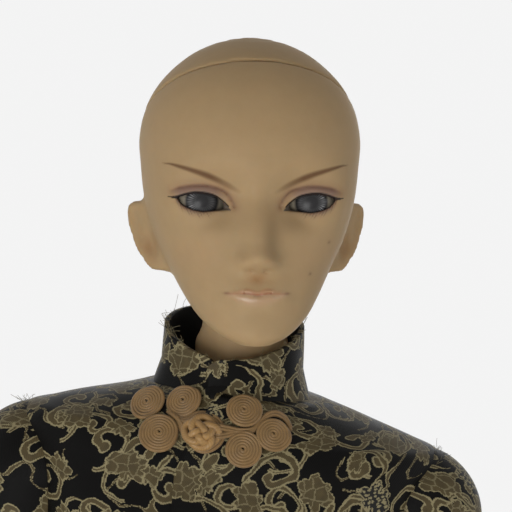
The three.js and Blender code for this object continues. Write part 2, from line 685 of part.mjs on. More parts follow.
// The neck's longer hook turns in the bore of the neck
function neckHook(reach) {
  const w = NECK_BORE - HOOK_PLAY - HOOK_WIRE;
  const h = reach - HOOK_WIRE;
  return wire([
    [-w * 0.8, 0, h * 0.6], [-w * 0.5, 0, h * 0.9], [0, 0, h], [w * 0.6, 0, h * 0.85], [w * 0.3, 0, h * 0.4],
    [-w * 0.3, 0, -h * 0.4], [-w * 0.6, 0, -h * 0.85], [0, 0, -h], [w * 0.5, 0, -h * 0.9],
    [w * 0.8, 0, -h * 0.6],
  ], HOOK_WIRE, 14, 5);
}

// Arm pieces, in a frame with the shoulder at the origin and the arm straight down, for the doll's left side
const ELBOW_Z = -UPPER_ARM_LENGTH;
const WRIST_Z = ELBOW_Z - FOREARM_LENGTH;

function upperArm() {
  const bottom = ELBOW_Z + 3.5;
  const shape = loft([
    [bottom, 0, 10.8, 10.8, 10.8, 2, -0.85],
    [bottom + 14, 0, 10.6, 10.8, 11, 2, -0.35],
    [bottom + 40, 0, 11.6, 12.4, 11.6, 2],
    [bottom + 72, 0, 12.4, 12.8, 12.4, 2],
    [0, 0, SHOULDER_BALL - FIT, SHOULDER_BALL - FIT, SHOULDER_BALL - FIT, 2],
  ], 10, 5);
  return geometryOf(cut(
    join(solid(shape), ball(SHOULDER_BALL, [0, 0, 0], 12)),
    cup(ELBOW_BALL, [0, 0, ELBOW_Z], 12),
    solid(rod([0, 0, ELBOW_Z], [0, 0, 0], CORD_BORE)),
    slot([0, 0, 0], 180 + ARM_LEAN - ARM_RISE, 180 + 2 * ARM_LEAN),
  ));
}

function forearm() {
  const bottom = WRIST_Z + 2.5;
  const shape = loft([
    [bottom, 0, 7.6, 7.8, 7.8, 2],
    [bottom + 10, 0, 7.2, 7.8, 7.8, 2],
    [bottom + 34, 0, 8.6, 9, 8.8, 2],
    [bottom + 62, 0, 10.4, 10.4, 10.2, 2],
    [ELBOW_Z - 10, 0, 8.7, 8.7, 8.7, 2],
    [ELBOW_Z, 0, ELBOW_BALL - FIT, ELBOW_BALL - FIT, ELBOW_BALL - FIT, 2],
  ], 10, 5);
  return geometryOf(cut(
    join(solid(shape), ball(ELBOW_BALL, [0, 0, ELBOW_Z], 12)),
    cup(WRIST_BALL, [0, 0, WRIST_Z], 12),
    solid(rod([0, 0, WRIST_Z], [0, 0, FAR], CORD_BORE)),
  ));
}

function hand() {
  const palm = loft([
    [-PALM_LENGTH, 0, PALM_THICK / 2 - 1, PALM_WIDTH / 2, PALM_WIDTH / 2, 2.6],
    [-PALM_LENGTH + 8, 0, PALM_THICK / 2, PALM_WIDTH / 2, PALM_WIDTH / 2, 2.6],
    [-PALM_LENGTH / 2, 0, PALM_THICK / 2, PALM_WIDTH / 2 - 1.5, PALM_WIDTH / 2 - 1.5, 2.4],
    [-8, 0, PALM_THICK / 2 - 0.8, 7.4, 7.4, 2],
    [-2, 0, 4.4, 5, 5, 2],
  ], 8, 4);
  const pitch = PALM_WIDTH / FINGER_LENGTHS.length;
  const fingers = FINGER_LENGTHS.map((length, i) => {
    const y = (i - 1.5) * pitch;
    const spread = 1 + 0.02 * length;
    return solid(taper([
      [0.5, y, -PALM_LENGTH + 5], [-1, y * spread * 0.93, -PALM_LENGTH - length * 0.42],
      [-4, y * spread, -PALM_LENGTH - length * 0.9],
    ], [FINGER_RADIUS, FINGER_RADIUS * 0.95, FINGER_RADIUS * 0.74], 5));
  });
  const thumbPath = [[-2, -5, -8], [-4, -PALM_WIDTH / 2 - 2, -20], [-5.5, -PALM_WIDTH / 2 - 6, -33]];
  const thumb = taper(thumbPath, [4.6, 4, 2.9], 5);
  const whole = join(solid(palm), ball(WRIST_BALL, [0, 0, 0], 10), solid(thumb), ...fingers);
  const room = solid(rod([0, 0, -HAND_HOOK_ROOM], [0, 0, FAR], HAND_HOOK_ROOM, 8));
  return geometryOf(whole.subtract(room)).translate(0, 0, WRIST_Z);
}

// Jacket, in the doll's frame: height, middle, half width, front, back, squareness
const COLLAR_BASE_Z = NECK_Z - COLLAR_DROP;
const JACKET_ROWS = [
  [HEM_Z, 0, 62, 43, 43, 2.4],
  [HEM_Z + 26, 0, 57, 39, 39, 2.4],
  [WAIST_Z + 18, 0, 52, 36, 36, 2.4],
  [CHEST_RIM + 12, 0, 52, 38, 36, 2.4],
  [SHOULDER_Z - 26, 0, 54.5, 41.5, 38, 2.4],
  [SHOULDER_Z - 8, 1, 56, 40, 37, 2.4],
  [SHOULDER_Z + 8, 2, 58, 34, 34, 2.3],
  [SHOULDER_Z + 16, 2, 52, 30.5, 30.5, 2.2],
  [SHOULDER_Z + 22, 2, 41, 27.5, 28, 2.1],
  [COLLAR_BASE_Z, 2, 28, 25.5, 26, 2],
];
const JACKET_SIDES = 28;
const JACKET_STEPS = 12;

function jacketShell() {
  const folded = (rows, inset) => {
    const rings = Array.from({ length: JACKET_STEPS + 1 }, (_, i) => {
      const t = i / JACKET_STEPS;
      const [z, y, width, front, back, square] = between(rows, t);
      const level = ring([z, y, width - inset, front - inset, back - inset, square], JACKET_SIDES);
      const fade = Math.max(0, 1 - t / HEM_FOLD_REACH) ** 1.5 * HEM_FOLD_DEPTH;
      level.forEach((p) => {
        const angle = Math.atan2(p.y, p.x);
        const swell = 1 + fade * Math.cos(HEM_FOLDS * angle) / Math.hypot(p.x, p.y);
        p.x *= swell;
        p.y *= swell;
      });
      return level;
    });
    return rings;
  };
  const outside = folded(JACKET_ROWS, 0);
  const inside = folded(JACKET_ROWS, CLOTH);
  inside[0].forEach((p) => { p.z -= FIT; });
  inside[JACKET_STEPS].forEach((p) => { p.z += FIT; });
  return solid(skin(outside)).subtract(solid(skin(inside)));
}

const ARM_WAY = [Math.sin(radians(ARM_LEAN)), -Math.cos(radians(ARM_LEAN))];
const SLEEVE_TOP = SHOULDER_BALL + SLEEVE_PLAY;
const ARMHOLE_SIDES = 12;

// The jacket's armhole: everything the sleeve needs, with its clearance
function armhole() {
  const [x, y, z] = SHOULDER_AT;
  const far = [x + ARM_WAY[0] * FAR / 2, y, z + ARM_WAY[1] * FAR / 2];
  const radius = (SLEEVE_TOP + FIT) / flatOf(ARMHOLE_SIDES);
  return join(ball(radius, SHOULDER_AT, ARMHOLE_SIDES), solid(rod(SHOULDER_AT, far, radius, ARMHOLE_SIDES)));
}

const jacketBody = cut(jacketShell(), ...bothSides(armhole()));
const FRONT_X = FRONT_OPENING / 2;
const halfSpace = (lowX, highX, lowY, highY) =>
  block([highX - lowX, highY - lowY, FAR], [(lowX + highX) / 2, (lowY + highY) / 2, CHEST_Z]);
const jacketBack = () => geometryOf(jacketBody.intersect(halfSpace(-FAR, FAR, FIT / 2, FAR)));
const jacketFront = () => geometryOf(jacketBody.intersect(halfSpace(FRONT_X, FAR, -FAR, -FIT / 2)));

function collar() {
  const wallRows = (radius, wide = radius + COLLAR_SPREAD) => [
    [COLLAR_BASE_Z + FIT, 2, wide + 1, wide, wide, 2, 0],
    [COLLAR_BASE_Z + FIT + COLLAR_HEIGHT / 2, 2, radius + 1, radius + 1, radius + 1, 2, COLLAR_RISE * 0.7],
    [COLLAR_BASE_Z + FIT + COLLAR_HEIGHT, 2, radius + 1, radius + 0.6, radius + 0.4, 2, COLLAR_RISE],
  ];
  const outside = loft(wallRows(COLLAR_RADIUS), COLLAR_SIDES, 2);
  const innerRows = wallRows(COLLAR_RADIUS - CLOTH);
  innerRows[0][0] -= 6;
  innerRows[2][0] += 6;
  const gap = block([COLLAR_OPENING, FAR, FAR], [0, -FAR / 2, COLLAR_BASE_Z]);
  return geometryOf(cut(solid(outside), solid(loft(innerRows, COLLAR_SIDES, 2)), gap));
}

function sleeve() {
  const cuffZ = WRIST_Z + CUFF_RISE;
  const rows = (inset, reach) => [
    [cuffZ - reach, 0, SLEEVE_CUFF - inset, SLEEVE_CUFF - inset, SLEEVE_CUFF - inset, 2],
    [cuffZ + 30, 0, SLEEVE_CUFF - inset, SLEEVE_CUFF - inset, SLEEVE_CUFF - inset, 2],
    [ELBOW_Z, 0, SLEEVE_TOP - 1 - inset, SLEEVE_TOP - inset, SLEEVE_TOP - inset, 2],
    [ELBOW_Z / 2, 0, SLEEVE_TOP - inset, SLEEVE_TOP - inset, SLEEVE_TOP - inset, 2],
    [0, 0, SLEEVE_TOP - inset - 0.05, SLEEVE_TOP - inset - 0.05, SLEEVE_TOP - inset - 0.05, 2],
  ];
  const outside = join(solid(loft(rows(0, 0), 12, 4)), ball(SLEEVE_TOP, [0, 0, 0], 10));
  const inside = join(solid(loft(rows(CLOTH, FIT), 12, 4)), ball(SLEEVE_TOP - CLOTH, [0, 0, 0], 10));
  return outside.subtract(inside);
}

// The sleeve stops where the chest and the jacket begin
function sleeveLeft() {
  const turned = geometryOf(sleeve()).rotateY(-radians(ARM_LEAN)).translate(...SHOULDER_AT);
  const openX = SHOULDER_SPREAD - SLEEVE_INSET;
  const inner = block([FAR, FAR, FAR], [openX - FAR / 2, 0, SHOULDER_Z]);
  return geometryOf(cut(solid(turned), inner));
}

// Front surface of the jacket or the collar at a place, whichever stands further out
function frontAt(x, z) {
  const rings = Array.from({ length: JACKET_STEPS + 1 }, (_, i) => between(JACKET_ROWS, i / JACKET_STEPS));
  const above = rings.findIndex(([height], i) => i === JACKET_STEPS || (i > 0 && height > z));
  const [low, high] = [rings[above - 1], rings[above]];
  const part = THREE.MathUtils.clamp((z - low[0]) / (high[0] - low[0]), 0, 1);
  const [, y, width, front, , square] = low.map((value, k) => THREE.MathUtils.lerp(value, high[k], part));
  const jacket = y - front * Math.max(0, 1 - (Math.abs(x) / width) ** square) ** (1 / square);
  const round = COLLAR_RADIUS + COLLAR_SPREAD + 1;
  const onCollar = z > COLLAR_BASE_Z - FROG_OVERLAP ? 2 - Math.sqrt(Math.max(0, round * round - x * x)) : FAR;
  return Math.min(jacket, onCollar);
}

// One flat spiral of cord, from its middle outwards, that leaves at a given heading
function coil(x, z, heading, way) {
  const count = Math.round(FROG_TURNS * FROG_STEPS);
  return Array.from({ length: count + 1 }, (_, i) => {
    const left = (count - i) / FROG_STEPS;
    const radius = FROG_PITCH * (FROG_TURNS - left + 0.35);
    const angle = heading - way * 2 * Math.PI * left;
    return [x + radius * Math.cos(angle), z + radius * Math.sin(angle)];
  });
}

const FROG_Z = NECK_Z - FROG_DROP;

// Each half: its upper, lower and outer coil, and the cord that joins the first two, from the knot's middle:
// across, up and how far it stands off the cloth
const LOOP_HALF = {
  upper: [-7.4, 7.4], lower: [-10.9, -4], outer: [-18.2, 2.6],
  link: [[-3.4, 2.5, 0], [1.6, 2.7, 0], [3.4, 0, 0], [1.6, -2.7, 0], [-3.4, -1.6, 0], [-7.6, 0.4, 0]],
};
const KNOT_HALF = {
  upper: [9.6, 8.4], lower: [12.2, -3.2], outer: [19.8, 4],
  link: [
    [6.4, 3.2, 0.3], [4.4, 2.2, 1.5], [1.2, 1.4, 1.7], [-1.3, 0.8, 1.7], [-1.5, -0.9, 1.7], [1.2, -1.5, 1.7],
    [4.6, -0.4, 1.5], [7, 0.6, 0.3], [9.6, 1.4, 0],
  ],
};
const KNOT_STAND = 1.6;

function onCloth(points) {
  const tilt = radians(FROG_TILT);
  return points.map(([x, z, stand = 0]) => {
    const arc = FROG_SHIFT + x * Math.cos(tilt) - z * Math.sin(tilt);
    const across = FROG_WRAP * Math.sin(arc / FROG_WRAP);
    const up = FROG_Z + x * Math.sin(tilt) + z * Math.cos(tilt);
    const steepX = frontAt(across + FIT, up) - frontAt(across - FIT, up);
    const steepZ = frontAt(across, up + FIT) - frontAt(across, up - FIT);
    const slant = Math.min(FROG_SLANT, Math.hypot(1, steepX / (2 * FIT), steepZ / (2 * FIT)));
    return [across, frontAt(across, up) - (FROG_CORD + FROG_STAND) * slant - stand, up];
  });
}

// Least distance between stretches of a cord that aren't neighbours, less the cord's own thickness
function selfGap(points, radius) {
  let least = Infinity;
  const apart = Math.ceil(FROG_STEPS / 2);
  for (let i = 0; i < points.length; i++) {
    for (let k = i + apart; k < points.length; k++) {
      least = Math.min(least, Math.hypot(...points[i].map((v, n) => v - points[k][n])));
    }
  }
  return least - 2 * radius;
}

function cordOn(name, flat) {
  const points = onCloth(flat);
  console.log(`${name}: least gap of the cord to itself ${selfGap(points, FROG_CORD).toFixed(2)} mm`);
  return solid(wire(points, FROG_CORD, points.length - 1, FROG_SIDES));
}

// Half a closure: two coils joined by the loop or the knot, and a third coil whose tail is sewn to them
function frogHalf(name, { upper, lower, outer, link }, side) {
  const quarter = Math.PI / 2;
  const inward = coil(...upper, -quarter, -side);
  const outward = coil(...lower, quarter, side).reverse();
  const pair = cordOn(`${name} pair`, [...inward, ...link, ...outward]);
  const tail = [
    [outer[0] - side * 5, (outer[1] + upper[1]) / 2 - 4.2], [upper[0] + side * 1.5, upper[1] - 4.6],
  ];
  const third = cordOn(`${name} third coil`, [...coil(...outer, -quarter, -side), ...tail]);
  return join(pair, third);
}

const frogLoop = () => geometryOf(frogHalf('frog_loop', LOOP_HALF, -1));

function frogKnot() {
  const [middle] = onCloth([[0, 0, KNOT_STAND]]);
  return geometryOf(join(frogHalf('frog_knot', KNOT_HALF, 1), ball(KNOT_RADIUS, middle, 8)));
}

// Straight length of elastic cord
const cordFrom = (from, to) => rod(from, to, CORD, 8);
const along = (from, way, distance) => new THREE.Vector3(...from).addScaledVector(way, distance).toArray();

// Assembly
const doll = new THREE.Group();

function add(parent, name, geometry, material) {
  const mesh = new THREE.Mesh(geometry, material);
  mesh.name = name;
  parent.add(mesh);
}

// Both sides of a piece made for the doll's left
function addPair(parent, name, geometry, material) {
  add(parent, `${name}_left`, geometry, material);
  add(parent, `${name}_right`, mirrored(geometry), material);
}

// Head, turned on the neck as it is worn
const head = new THREE.Group();
head.rotation.set(-radians(HEAD_RAISE), -radians(HEAD_LEAN), radians(HEAD_TURN), 'ZXY');
head.position.set(...NECK_AT);
doll.add(head);
const onChin = new THREE.Group();
onChin.position.set(...NECK_IN_HEAD).negate();
head.add(onChin);
add(onChin, 'head_shell', headShell(), RESIN);
add(onChin, 'head_cap', headCap(), RESIN);
addPair(onChin, 'eye', eye(), EYE);
addPair(onChin, 'eye_putty', putty(), PUTTY);
add(onChin, 'shell_magnet', magnet(-MAGNET_REST, MAGNET_RADIUS, MAGNET_THICK), STEEL);
add(onChin, 'cap_magnet', magnet(MAGNET_REST, MAGNET_RADIUS, MAGNET_THICK), STEEL);
const barZ = NECK_BALL + FIT + BAR_WIRE;
add(head, 'neck_bar', rod([0, -BAR_LENGTH / 2, barZ], [0, BAR_LENGTH / 2, barZ], BAR_WIRE, 8), STEEL);

// Torso
const neckHookReach = NECK_BALL - FIT / 2;
add(doll, 'neck_hook', neckHook(neckHookReach).translate(...NECK_AT), STEEL);
add(doll, 'chest', chest(), RESIN);
add(doll, 'abdomen', abdomen(), RESIN);
add(doll, 'pelvis', pelvis(), RESIN);

// Legs
addPair(doll, 'thigh', thigh(), RESIN);
addPair(doll, 'knee_joint', kneeJoint(), RESIN);
addPair(doll, 'shin', shin(), RESIN);
addPair(doll, 'foot', foot(), RESIN);
const footHook = hook(HOOK_ROOM - HOOK_PLAY, HOOK_WIRE);
addPair(doll, 'foot_hook', footHook.translate(HIP_SPREAD, 0, ANKLE_HEIGHT), STEEL);

// Arms hang from the shoulders, leaning outwards
const hang = (geometry) => geometry.rotateY(-radians(ARM_LEAN)).translate(...SHOULDER_AT);
addPair(doll, 'upper_arm', hang(upperArm()), RESIN);
addPair(doll, 'forearm', hang(forearm()), RESIN);
addPair(doll, 'hand', hang(hand()), RESIN);
const handHook = hook(HAND_HOOK_ROOM - HOOK_PLAY, HAND_HOOK_WIRE);
addPair(doll, 'hand_hook', hang(handHook.translate(0, 0, WRIST_Z)), STEEL);

// Elastic cord, one length for each stretch between two joints
const outOf = (radius) => radius + JOINT_GAP + FIT;
const inside = (radius) => radius - FIT;
const socketX = SHOULDER_SPREAD - outOf(SHOULDER_BALL);
add(doll, 'arm_cord', cordFrom([-socketX, 2, SHOULDER_Z], [socketX, 2, SHOULDER_Z]), ELASTIC);
const armCordY = 2 - 2 * CORD - FIT;
add(doll, 'chest_cord', wire([
  [0, 0, CHEST_Z + outOf(CHEST_BALL)], [0, armCordY, SHOULDER_Z - 12], [0, armCordY, SHOULDER_Z + 4],
  [0, 2, NECK_Z - neckHookReach - FIT],
], CORD, 10, 6), ELASTIC);
const abdomenCord = cordFrom([0, 0, WAIST_Z - inside(WAIST_BALL)], [0, 0, CHEST_Z + inside(CHEST_BALL)]);
add(doll, 'abdomen_cord', abdomenCord, ELASTIC);
addPair(doll, 'pelvis_cord', cordFrom(
  along(HIP_AT, HIP_CORD_WAY, outOf(HIP_BALL)), along([0, 0, CORD_FORK_Z], HIP_CORD_WAY, -CORD_FORK_GAP),
), ELASTIC);
const hipCord = cordFrom(along(HIP_AT, HIP_CORD_WAY, inside(HIP_BALL)), HIP_AT);
addPair(doll, 'hip_cord', geometryOf(join(solid(hipCord), ball(CORD, HIP_AT, 6))), ELASTIC);
const legCord = (low, high) => cordFrom([HIP_SPREAD, 0, low], [HIP_SPREAD, 0, high]);
addPair(doll, 'thigh_cord', legCord(UPPER_KNEE_Z + outOf(KNEE_BALL), HIP_Z - CORD - FIT), ELASTIC);
const kneeCord = legCord(LOWER_KNEE_Z - inside(KNEE_BALL), UPPER_KNEE_Z + inside(KNEE_BALL));
addPair(doll, 'knee_cord', kneeCord, ELASTIC);
const shinCord = legCord(ANKLE_HEIGHT + outOf(ANKLE_BALL), LOWER_KNEE_Z - outOf(KNEE_BALL));
addPair(doll, 'shin_cord', shinCord, ELASTIC);
const shoulderCord = cordFrom([SHOULDER_SPREAD - inside(SHOULDER_BALL), 2, SHOULDER_Z], SHOULDER_AT);
addPair(doll, 'shoulder_cord', geometryOf(join(solid(shoulderCord), ball(CORD, SHOULDER_AT, 6))), ELASTIC);
const armCord = (low, high) => hang(cordFrom([0, 0, low], [0, 0, high]));
addPair(doll, 'upper_arm_cord', armCord(ELBOW_Z + outOf(ELBOW_BALL), -CORD - FIT), ELASTIC);
addPair(doll, 'forearm_cord', armCord(WRIST_Z + outOf(WRIST_BALL), ELBOW_Z + inside(ELBOW_BALL)), ELASTIC);

// Jacket and its closure
add(doll, 'jacket_back', jacketBack(), BROCADE);
addPair(doll, 'jacket_front', jacketFront(), BROCADE);
add(doll, 'collar', collar(), BROCADE);
addPair(doll, 'sleeve', sleeveLeft(), BROCADE);
add(doll, 'frog_loop', frogLoop(), GOLD_CORD);
add(doll, 'frog_knot', frogKnot(), GOLD_CORD);

// The origin is on the floor, under the middle of the doll's box
const reach = new THREE.Box3().setFromObject(doll);
const middle = reach.getCenter(new THREE.Vector3());
doll.position.set(-middle.x, -middle.y, -reach.min.z);

const assembly = new THREE.Group();
assembly.add(doll);

export default assembly;
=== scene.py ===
"""Looks of a bald resin ball-jointed doll in a brocade jacket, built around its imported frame."""
import json
import math

import bmesh
import bpy
import numpy as np
from bpy.props import FloatProperty, FloatVectorProperty, PointerProperty
from mathutils import Matrix, Vector


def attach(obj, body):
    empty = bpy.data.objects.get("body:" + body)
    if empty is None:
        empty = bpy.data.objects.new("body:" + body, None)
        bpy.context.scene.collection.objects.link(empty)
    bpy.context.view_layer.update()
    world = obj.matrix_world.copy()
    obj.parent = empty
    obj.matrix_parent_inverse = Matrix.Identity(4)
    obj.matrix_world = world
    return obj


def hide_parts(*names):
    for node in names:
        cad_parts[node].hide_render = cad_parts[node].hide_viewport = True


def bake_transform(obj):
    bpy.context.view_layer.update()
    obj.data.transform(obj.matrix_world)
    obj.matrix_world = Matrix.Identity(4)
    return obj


bl_info = {
    "name": "Ball-jointed doll",
    "version": (1, 0, 0),
    "blender": (4, 5, 0),
    "location": "View3D > Sidebar > Doll",
    "description": "Builds the looks of a ball-jointed doll around its packed frame",
    "category": "Object",
}

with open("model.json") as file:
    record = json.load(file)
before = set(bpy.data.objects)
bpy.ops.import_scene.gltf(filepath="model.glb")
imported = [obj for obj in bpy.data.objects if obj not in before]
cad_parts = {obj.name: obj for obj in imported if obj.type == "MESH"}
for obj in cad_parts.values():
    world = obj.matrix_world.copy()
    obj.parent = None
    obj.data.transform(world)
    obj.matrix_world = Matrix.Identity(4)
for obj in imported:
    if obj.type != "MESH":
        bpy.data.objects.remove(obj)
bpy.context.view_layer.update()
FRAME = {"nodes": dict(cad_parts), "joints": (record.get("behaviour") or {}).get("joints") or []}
MM = 0.001
SIDES = (("left", 1), ("right", -1))
JOINT_AT = {j["name"]: np.array(j.get("pos_m", (0, 0, 0))) / MM for j in FRAME["joints"]}

# Joint centres of the solids, in millimetres
NECK = JOINT_AT["neck_turn"]
SHOULDER = JOINT_AT["shoulder_swing_left"]
HIP = JOINT_AT["hip_swing_left"]
UPPER_KNEE = JOINT_AT["knee_upper_left"]
LOWER_KNEE = JOINT_AT["knee_lower_left"]
ANKLE = JOINT_AT["ankle_pitch_left"]
WAIST = JOINT_AT["waist_turn"]
CHEST = JOINT_AT["chest_bend"]
# The doll's middle plane, and how far behind it the neck and the shoulders stand
MIDDLE_Y, TOP_Y = WAIST[1], 2


# Fields: negative inside, in millimetres, on an open grid (x, y, z)
def soft_min(a, b, blend):
    """The lower of two fields, rounded where they meet."""
    mix = np.clip(0.5 + 0.5 * (b - a) / blend, 0, 1)
    return b + (a - b) * mix - blend * mix * (1 - mix)


def soft_max(a, b, blend):
    """The higher of two fields, rounded where they meet."""
    return -soft_min(-a, -b, blend)


def through(rows, t):
    """Values between rows of a table, on the smooth curve that the solids use."""
    rows = np.asarray(rows, float)
    place = np.clip(t, 0, 1) * (len(rows) - 1)
    low = np.minimum(place.astype(int), len(rows) - 2)
    f = (place - low)[:, None]
    before, start = rows[np.maximum(low - 1, 0)], rows[low]
    end, after = rows[low + 1], rows[np.minimum(low + 2, len(rows) - 1)]
    slope_a, slope_b = (end - before) / 2, (after - start) / 2
    bend = 3 * (end - start) - 2 * slope_a - slope_b
    return start + f * (slope_a + f * (bend + f * (slope_a + slope_b - 2 * (end - start))))


TABLE_STEPS = 600


def by_height(rows, heights):
    """Station rows read off at given heights."""
    table = through(rows, np.linspace(0, 1, TABLE_STEPS))
    return [np.interp(heights, table[:, 0], table[:, k]) for k in range(1, 6)]


def loft(rows, x, y, z):
    """Field of a body with level oval sections: height, middle, half width, front, back, squareness."""
    middle, width, front, back, square = (v.astype(np.float32) for v in by_height(rows, z))
    depth = y - middle
    reach = np.where(depth < 0, front, back)
    ratio = ((np.abs(x) / width) ** square + (np.abs(depth) / reach) ** square) ** (1 / square)
    radial = np.sqrt(x * x + depth * depth) * (1 - 1 / np.maximum(ratio, 1e-3))
    return np.maximum(radial, np.maximum(rows[0][0] - z, z - rows[-1][0]))


def ellipsoid(x, y, z, at, radii):
    """Field of an ellipsoid, about true near its surface."""
    ratio = np.sqrt(
        ((x - at[0]) / radii[0]) ** 2 + ((y - at[1]) / radii[1]) ** 2 + ((z - at[2]) / radii[2]) ** 2)
    return (ratio - 1) * min(radii)


def ball(x, y, z, at, radius):
    """Field of a ball."""
    return np.sqrt((x - at[0]) ** 2 + (y - at[1]) ** 2 + (z - at[2]) ** 2) - radius


def cone(x, y, z, start, end, start_radius, end_radius):
    """Field of a round rod that tapers from start to end, with domed ends."""
    way = np.subtract(end, start).astype(float)
    share = ((x - start[0]) * way[0] + (y - start[1]) * way[1] + (z - start[2]) * way[2]) / (way @ way)
    share = np.clip(share, 0, 1)
    gap = [p - (s + share * w) for p, s, w in zip((x, y, z), start, way)]
    radius = start_radius + (end_radius - start_radius) * share
    return np.sqrt(gap[0] ** 2 + gap[1] ** 2 + gap[2] ** 2) - radius


def axis_grid(low, high, fine, coarse=None, change=None):
    """Grid values from low to high, fine up to the change and coarse past it."""
    if coarse is None:
        return np.linspace(low, high, int(math.ceil((high - low) / fine)) + 1).astype(np.float32)
    near = np.linspace(low, change, int(math.ceil((change - low) / fine)) + 1)
    far = np.linspace(change, high, int(math.ceil((high - change) / coarse)) + 1)
    return np.concatenate([near, far[1:]]).astype(np.float32)


def open_grid(xs, ys, zs):
    """Grid values shaped so that they spread over a block."""
    return xs[:, None, None], ys[None, :, None], zs[None, None, :]


CORNERS = np.array([(i, j, k) for i in (0, 1) for j in (0, 1) for k in (0, 1)])
CELL_EDGES = [
    (a, b) for a in range(8) for b in range(a + 1, 8) if np.abs(CORNERS[a] - CORNERS[b]).sum() == 1
]


def skin_of(field, xs, ys, zs):
    """Smooth closed mesh where a field on a grid is zero: one point in each cell that it crosses."""
    inside = field < 0
    shape = tuple(n - 1 for n in field.shape)
    count = np.zeros(shape, np.int8)
    for i, j, k in CORNERS:
        count += inside[i:i + shape[0], j:j + shape[1], k:k + shape[2]]
    cells = np.argwhere((count > 0) & (count < 8))
    values = np.stack([field[tuple((cells + c).T)] for c in CORNERS], 1)
    total = np.zeros((len(cells), 3))
    hits = np.zeros((len(cells), 1))
    for a, b in CELL_EDGES:
        va, vb = values[:, a], values[:, b]
        crossed = (va < 0) != (vb < 0)
        share = np.where(crossed, va / np.where(crossed, va - vb, 1), 0)
        point = CORNERS[a] + share[:, None] * (CORNERS[b] - CORNERS[a])
        total += np.where(crossed[:, None], point, 0)
        hits += crossed[:, None]
    local = total / hits
    sides = [(axis[cells[:, n]], axis[cells[:, n] + 1]) for n, axis in enumerate((xs, ys, zs))]
    points = np.stack([a + local[:, n] * (b - a) for n, (a, b) in enumerate(sides)], 1)
    index = np.full(shape, -1, np.int64)
    index[tuple(cells.T)] = np.arange(len(cells))
    faces = []
    for n in range(3):
        p, q = [m for m in range(3) if m != n]
        first = inside[tuple(slice(None, -1) if m == n else slice(1, -1) for m in range(3))]
        second = inside[tuple(slice(1, None) if m == n else slice(1, -1) for m in range(3))]
        edges = np.argwhere(first != second)
        starts_in = first[tuple(edges.T)]
        around = []
        for dp, dq in ((0, 0), (1, 0), (1, 1), (0, 1)):
            cell = edges.copy()
            cell[:, p] += dp
            cell[:, q] += dq
            around.append(index[tuple(cell.T)])
        quad = np.stack(around, 1)
        flip = starts_in if n == 1 else ~starts_in
        quad[flip] = quad[flip][:, ::-1]
        faces.append(quad)
    return points, np.concatenate(faces)


EVEN_ROUNDS, EVEN_SHARE = 2, 0.4


def evened(points, faces):
    """Points drawn towards the mean of their neighbours, which takes out the steps of the grid."""
    ends = np.concatenate([faces, np.roll(faces, -1, 1)], 0)
    starts = np.concatenate([np.roll(faces, -1, 1), faces], 0)
    for _ in range(EVEN_ROUNDS):
        total = np.zeros_like(points)
        count = np.zeros((len(points), 1))
        for k in range(faces.shape[1]):
            np.add.at(total, ends[:, k], points[starts[:, k]])
            np.add.at(count, ends[:, k], 1)
        points = points + EVEN_SHARE * (total / np.maximum(count, 1) - points)
    return points


def mesh_object(name, points, faces, material, smooth=True):
    """Mesh piece from points in millimetres in the doll's frame."""
    mesh = bpy.data.meshes.new(name)
    mesh.from_pydata((np.asarray(points, float) * MM).tolist(), [], [list(map(int, f)) for f in faces])
    mesh.validate()
    mesh.update()
    if smooth:
        mesh.shade_smooth()
    mesh.materials.append(material)
    obj = bpy.data.objects.new(name, mesh)
    bpy.context.scene.collection.objects.link(obj)
    return obj


def place(obj, body, *nodes, slot):
    """Rides a finished piece on its body, in place of CAD nodes."""
    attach(obj, body)
    if nodes:
        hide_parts(*nodes)
    return obj


def colour_layer(obj, name, colours):
    """Colour on each point, linear, one row of three for each."""
    layer = obj.data.color_attributes.new(name, "FLOAT_COLOR", "POINT")
    rows = np.concatenate([colours, np.ones((len(colours), 1))], 1).astype(np.float32)
    layer.data.foreach_set("color", rows.ravel())


def value_layer(obj, name, values):
    """One number on each point."""
    layer = obj.data.attributes.new(name, "FLOAT", "POINT")
    layer.data.foreach_set("value", np.asarray(values, np.float32))


def linear(rgb):
    """Colour in linear light from one written as 0 to 255."""
    c = np.asarray(rgb, float) / 255
    return np.where(c <= 0.04045, c / 12.92, ((c + 0.055) / 1.055) ** 2.4)


def step_over(value, low, high):
    """Smooth rise from 0 at low to 1 at high."""
    t = np.clip((value - low) / (high - low), 0, 1)
    return t * t * (3 - 2 * t)


# Materials
class Number:
    """Value in a shader that takes arithmetic."""

    def __init__(self, socket):
        self.socket = socket

    def __add__(self, other):
        return maths("ADD", self, other)

    def __sub__(self, other):
        return maths("SUBTRACT", self, other)

    def __rsub__(self, other):
        return maths("SUBTRACT", other, self)

    def __mul__(self, other):
        return maths("MULTIPLY", self, other)

    def __gt__(self, other):
        return maths("GREATER_THAN", self, other)

    def __lt__(self, other):
        return maths("LESS_THAN", self, other)


def new_material(name):
    """Material with its node tree and main shader."""
    material = bpy.data.materials.new(name)
    material.use_nodes = True
    return material, material.node_tree, material.node_tree.nodes["Principled BSDF"]


def feed(tree, made, **inputs):
    """Links or sets sockets of a node, each given by its name or as i and its number."""
    for key, value in inputs.items():
        socket = made.inputs[int(key[1:]) if key[1:].isdigit() else key.replace("_", " ")]
        value = value.socket if isinstance(value, Number) else value
        if isinstance(value, bpy.types.NodeSocket):
            tree.links.new(value, socket)
        else:
            socket.default_value = (*value, 1) if socket.type == "RGBA" else value


def node(tree, kind, settings=None, **inputs):
    """Node of a kind, with its settings and the sockets that are linked or set."""
    made = tree.nodes.new(kind)
    for key, value in (settings or {}).items():
        setattr(made, key, value)
    feed(tree, made, **inputs)
    return made


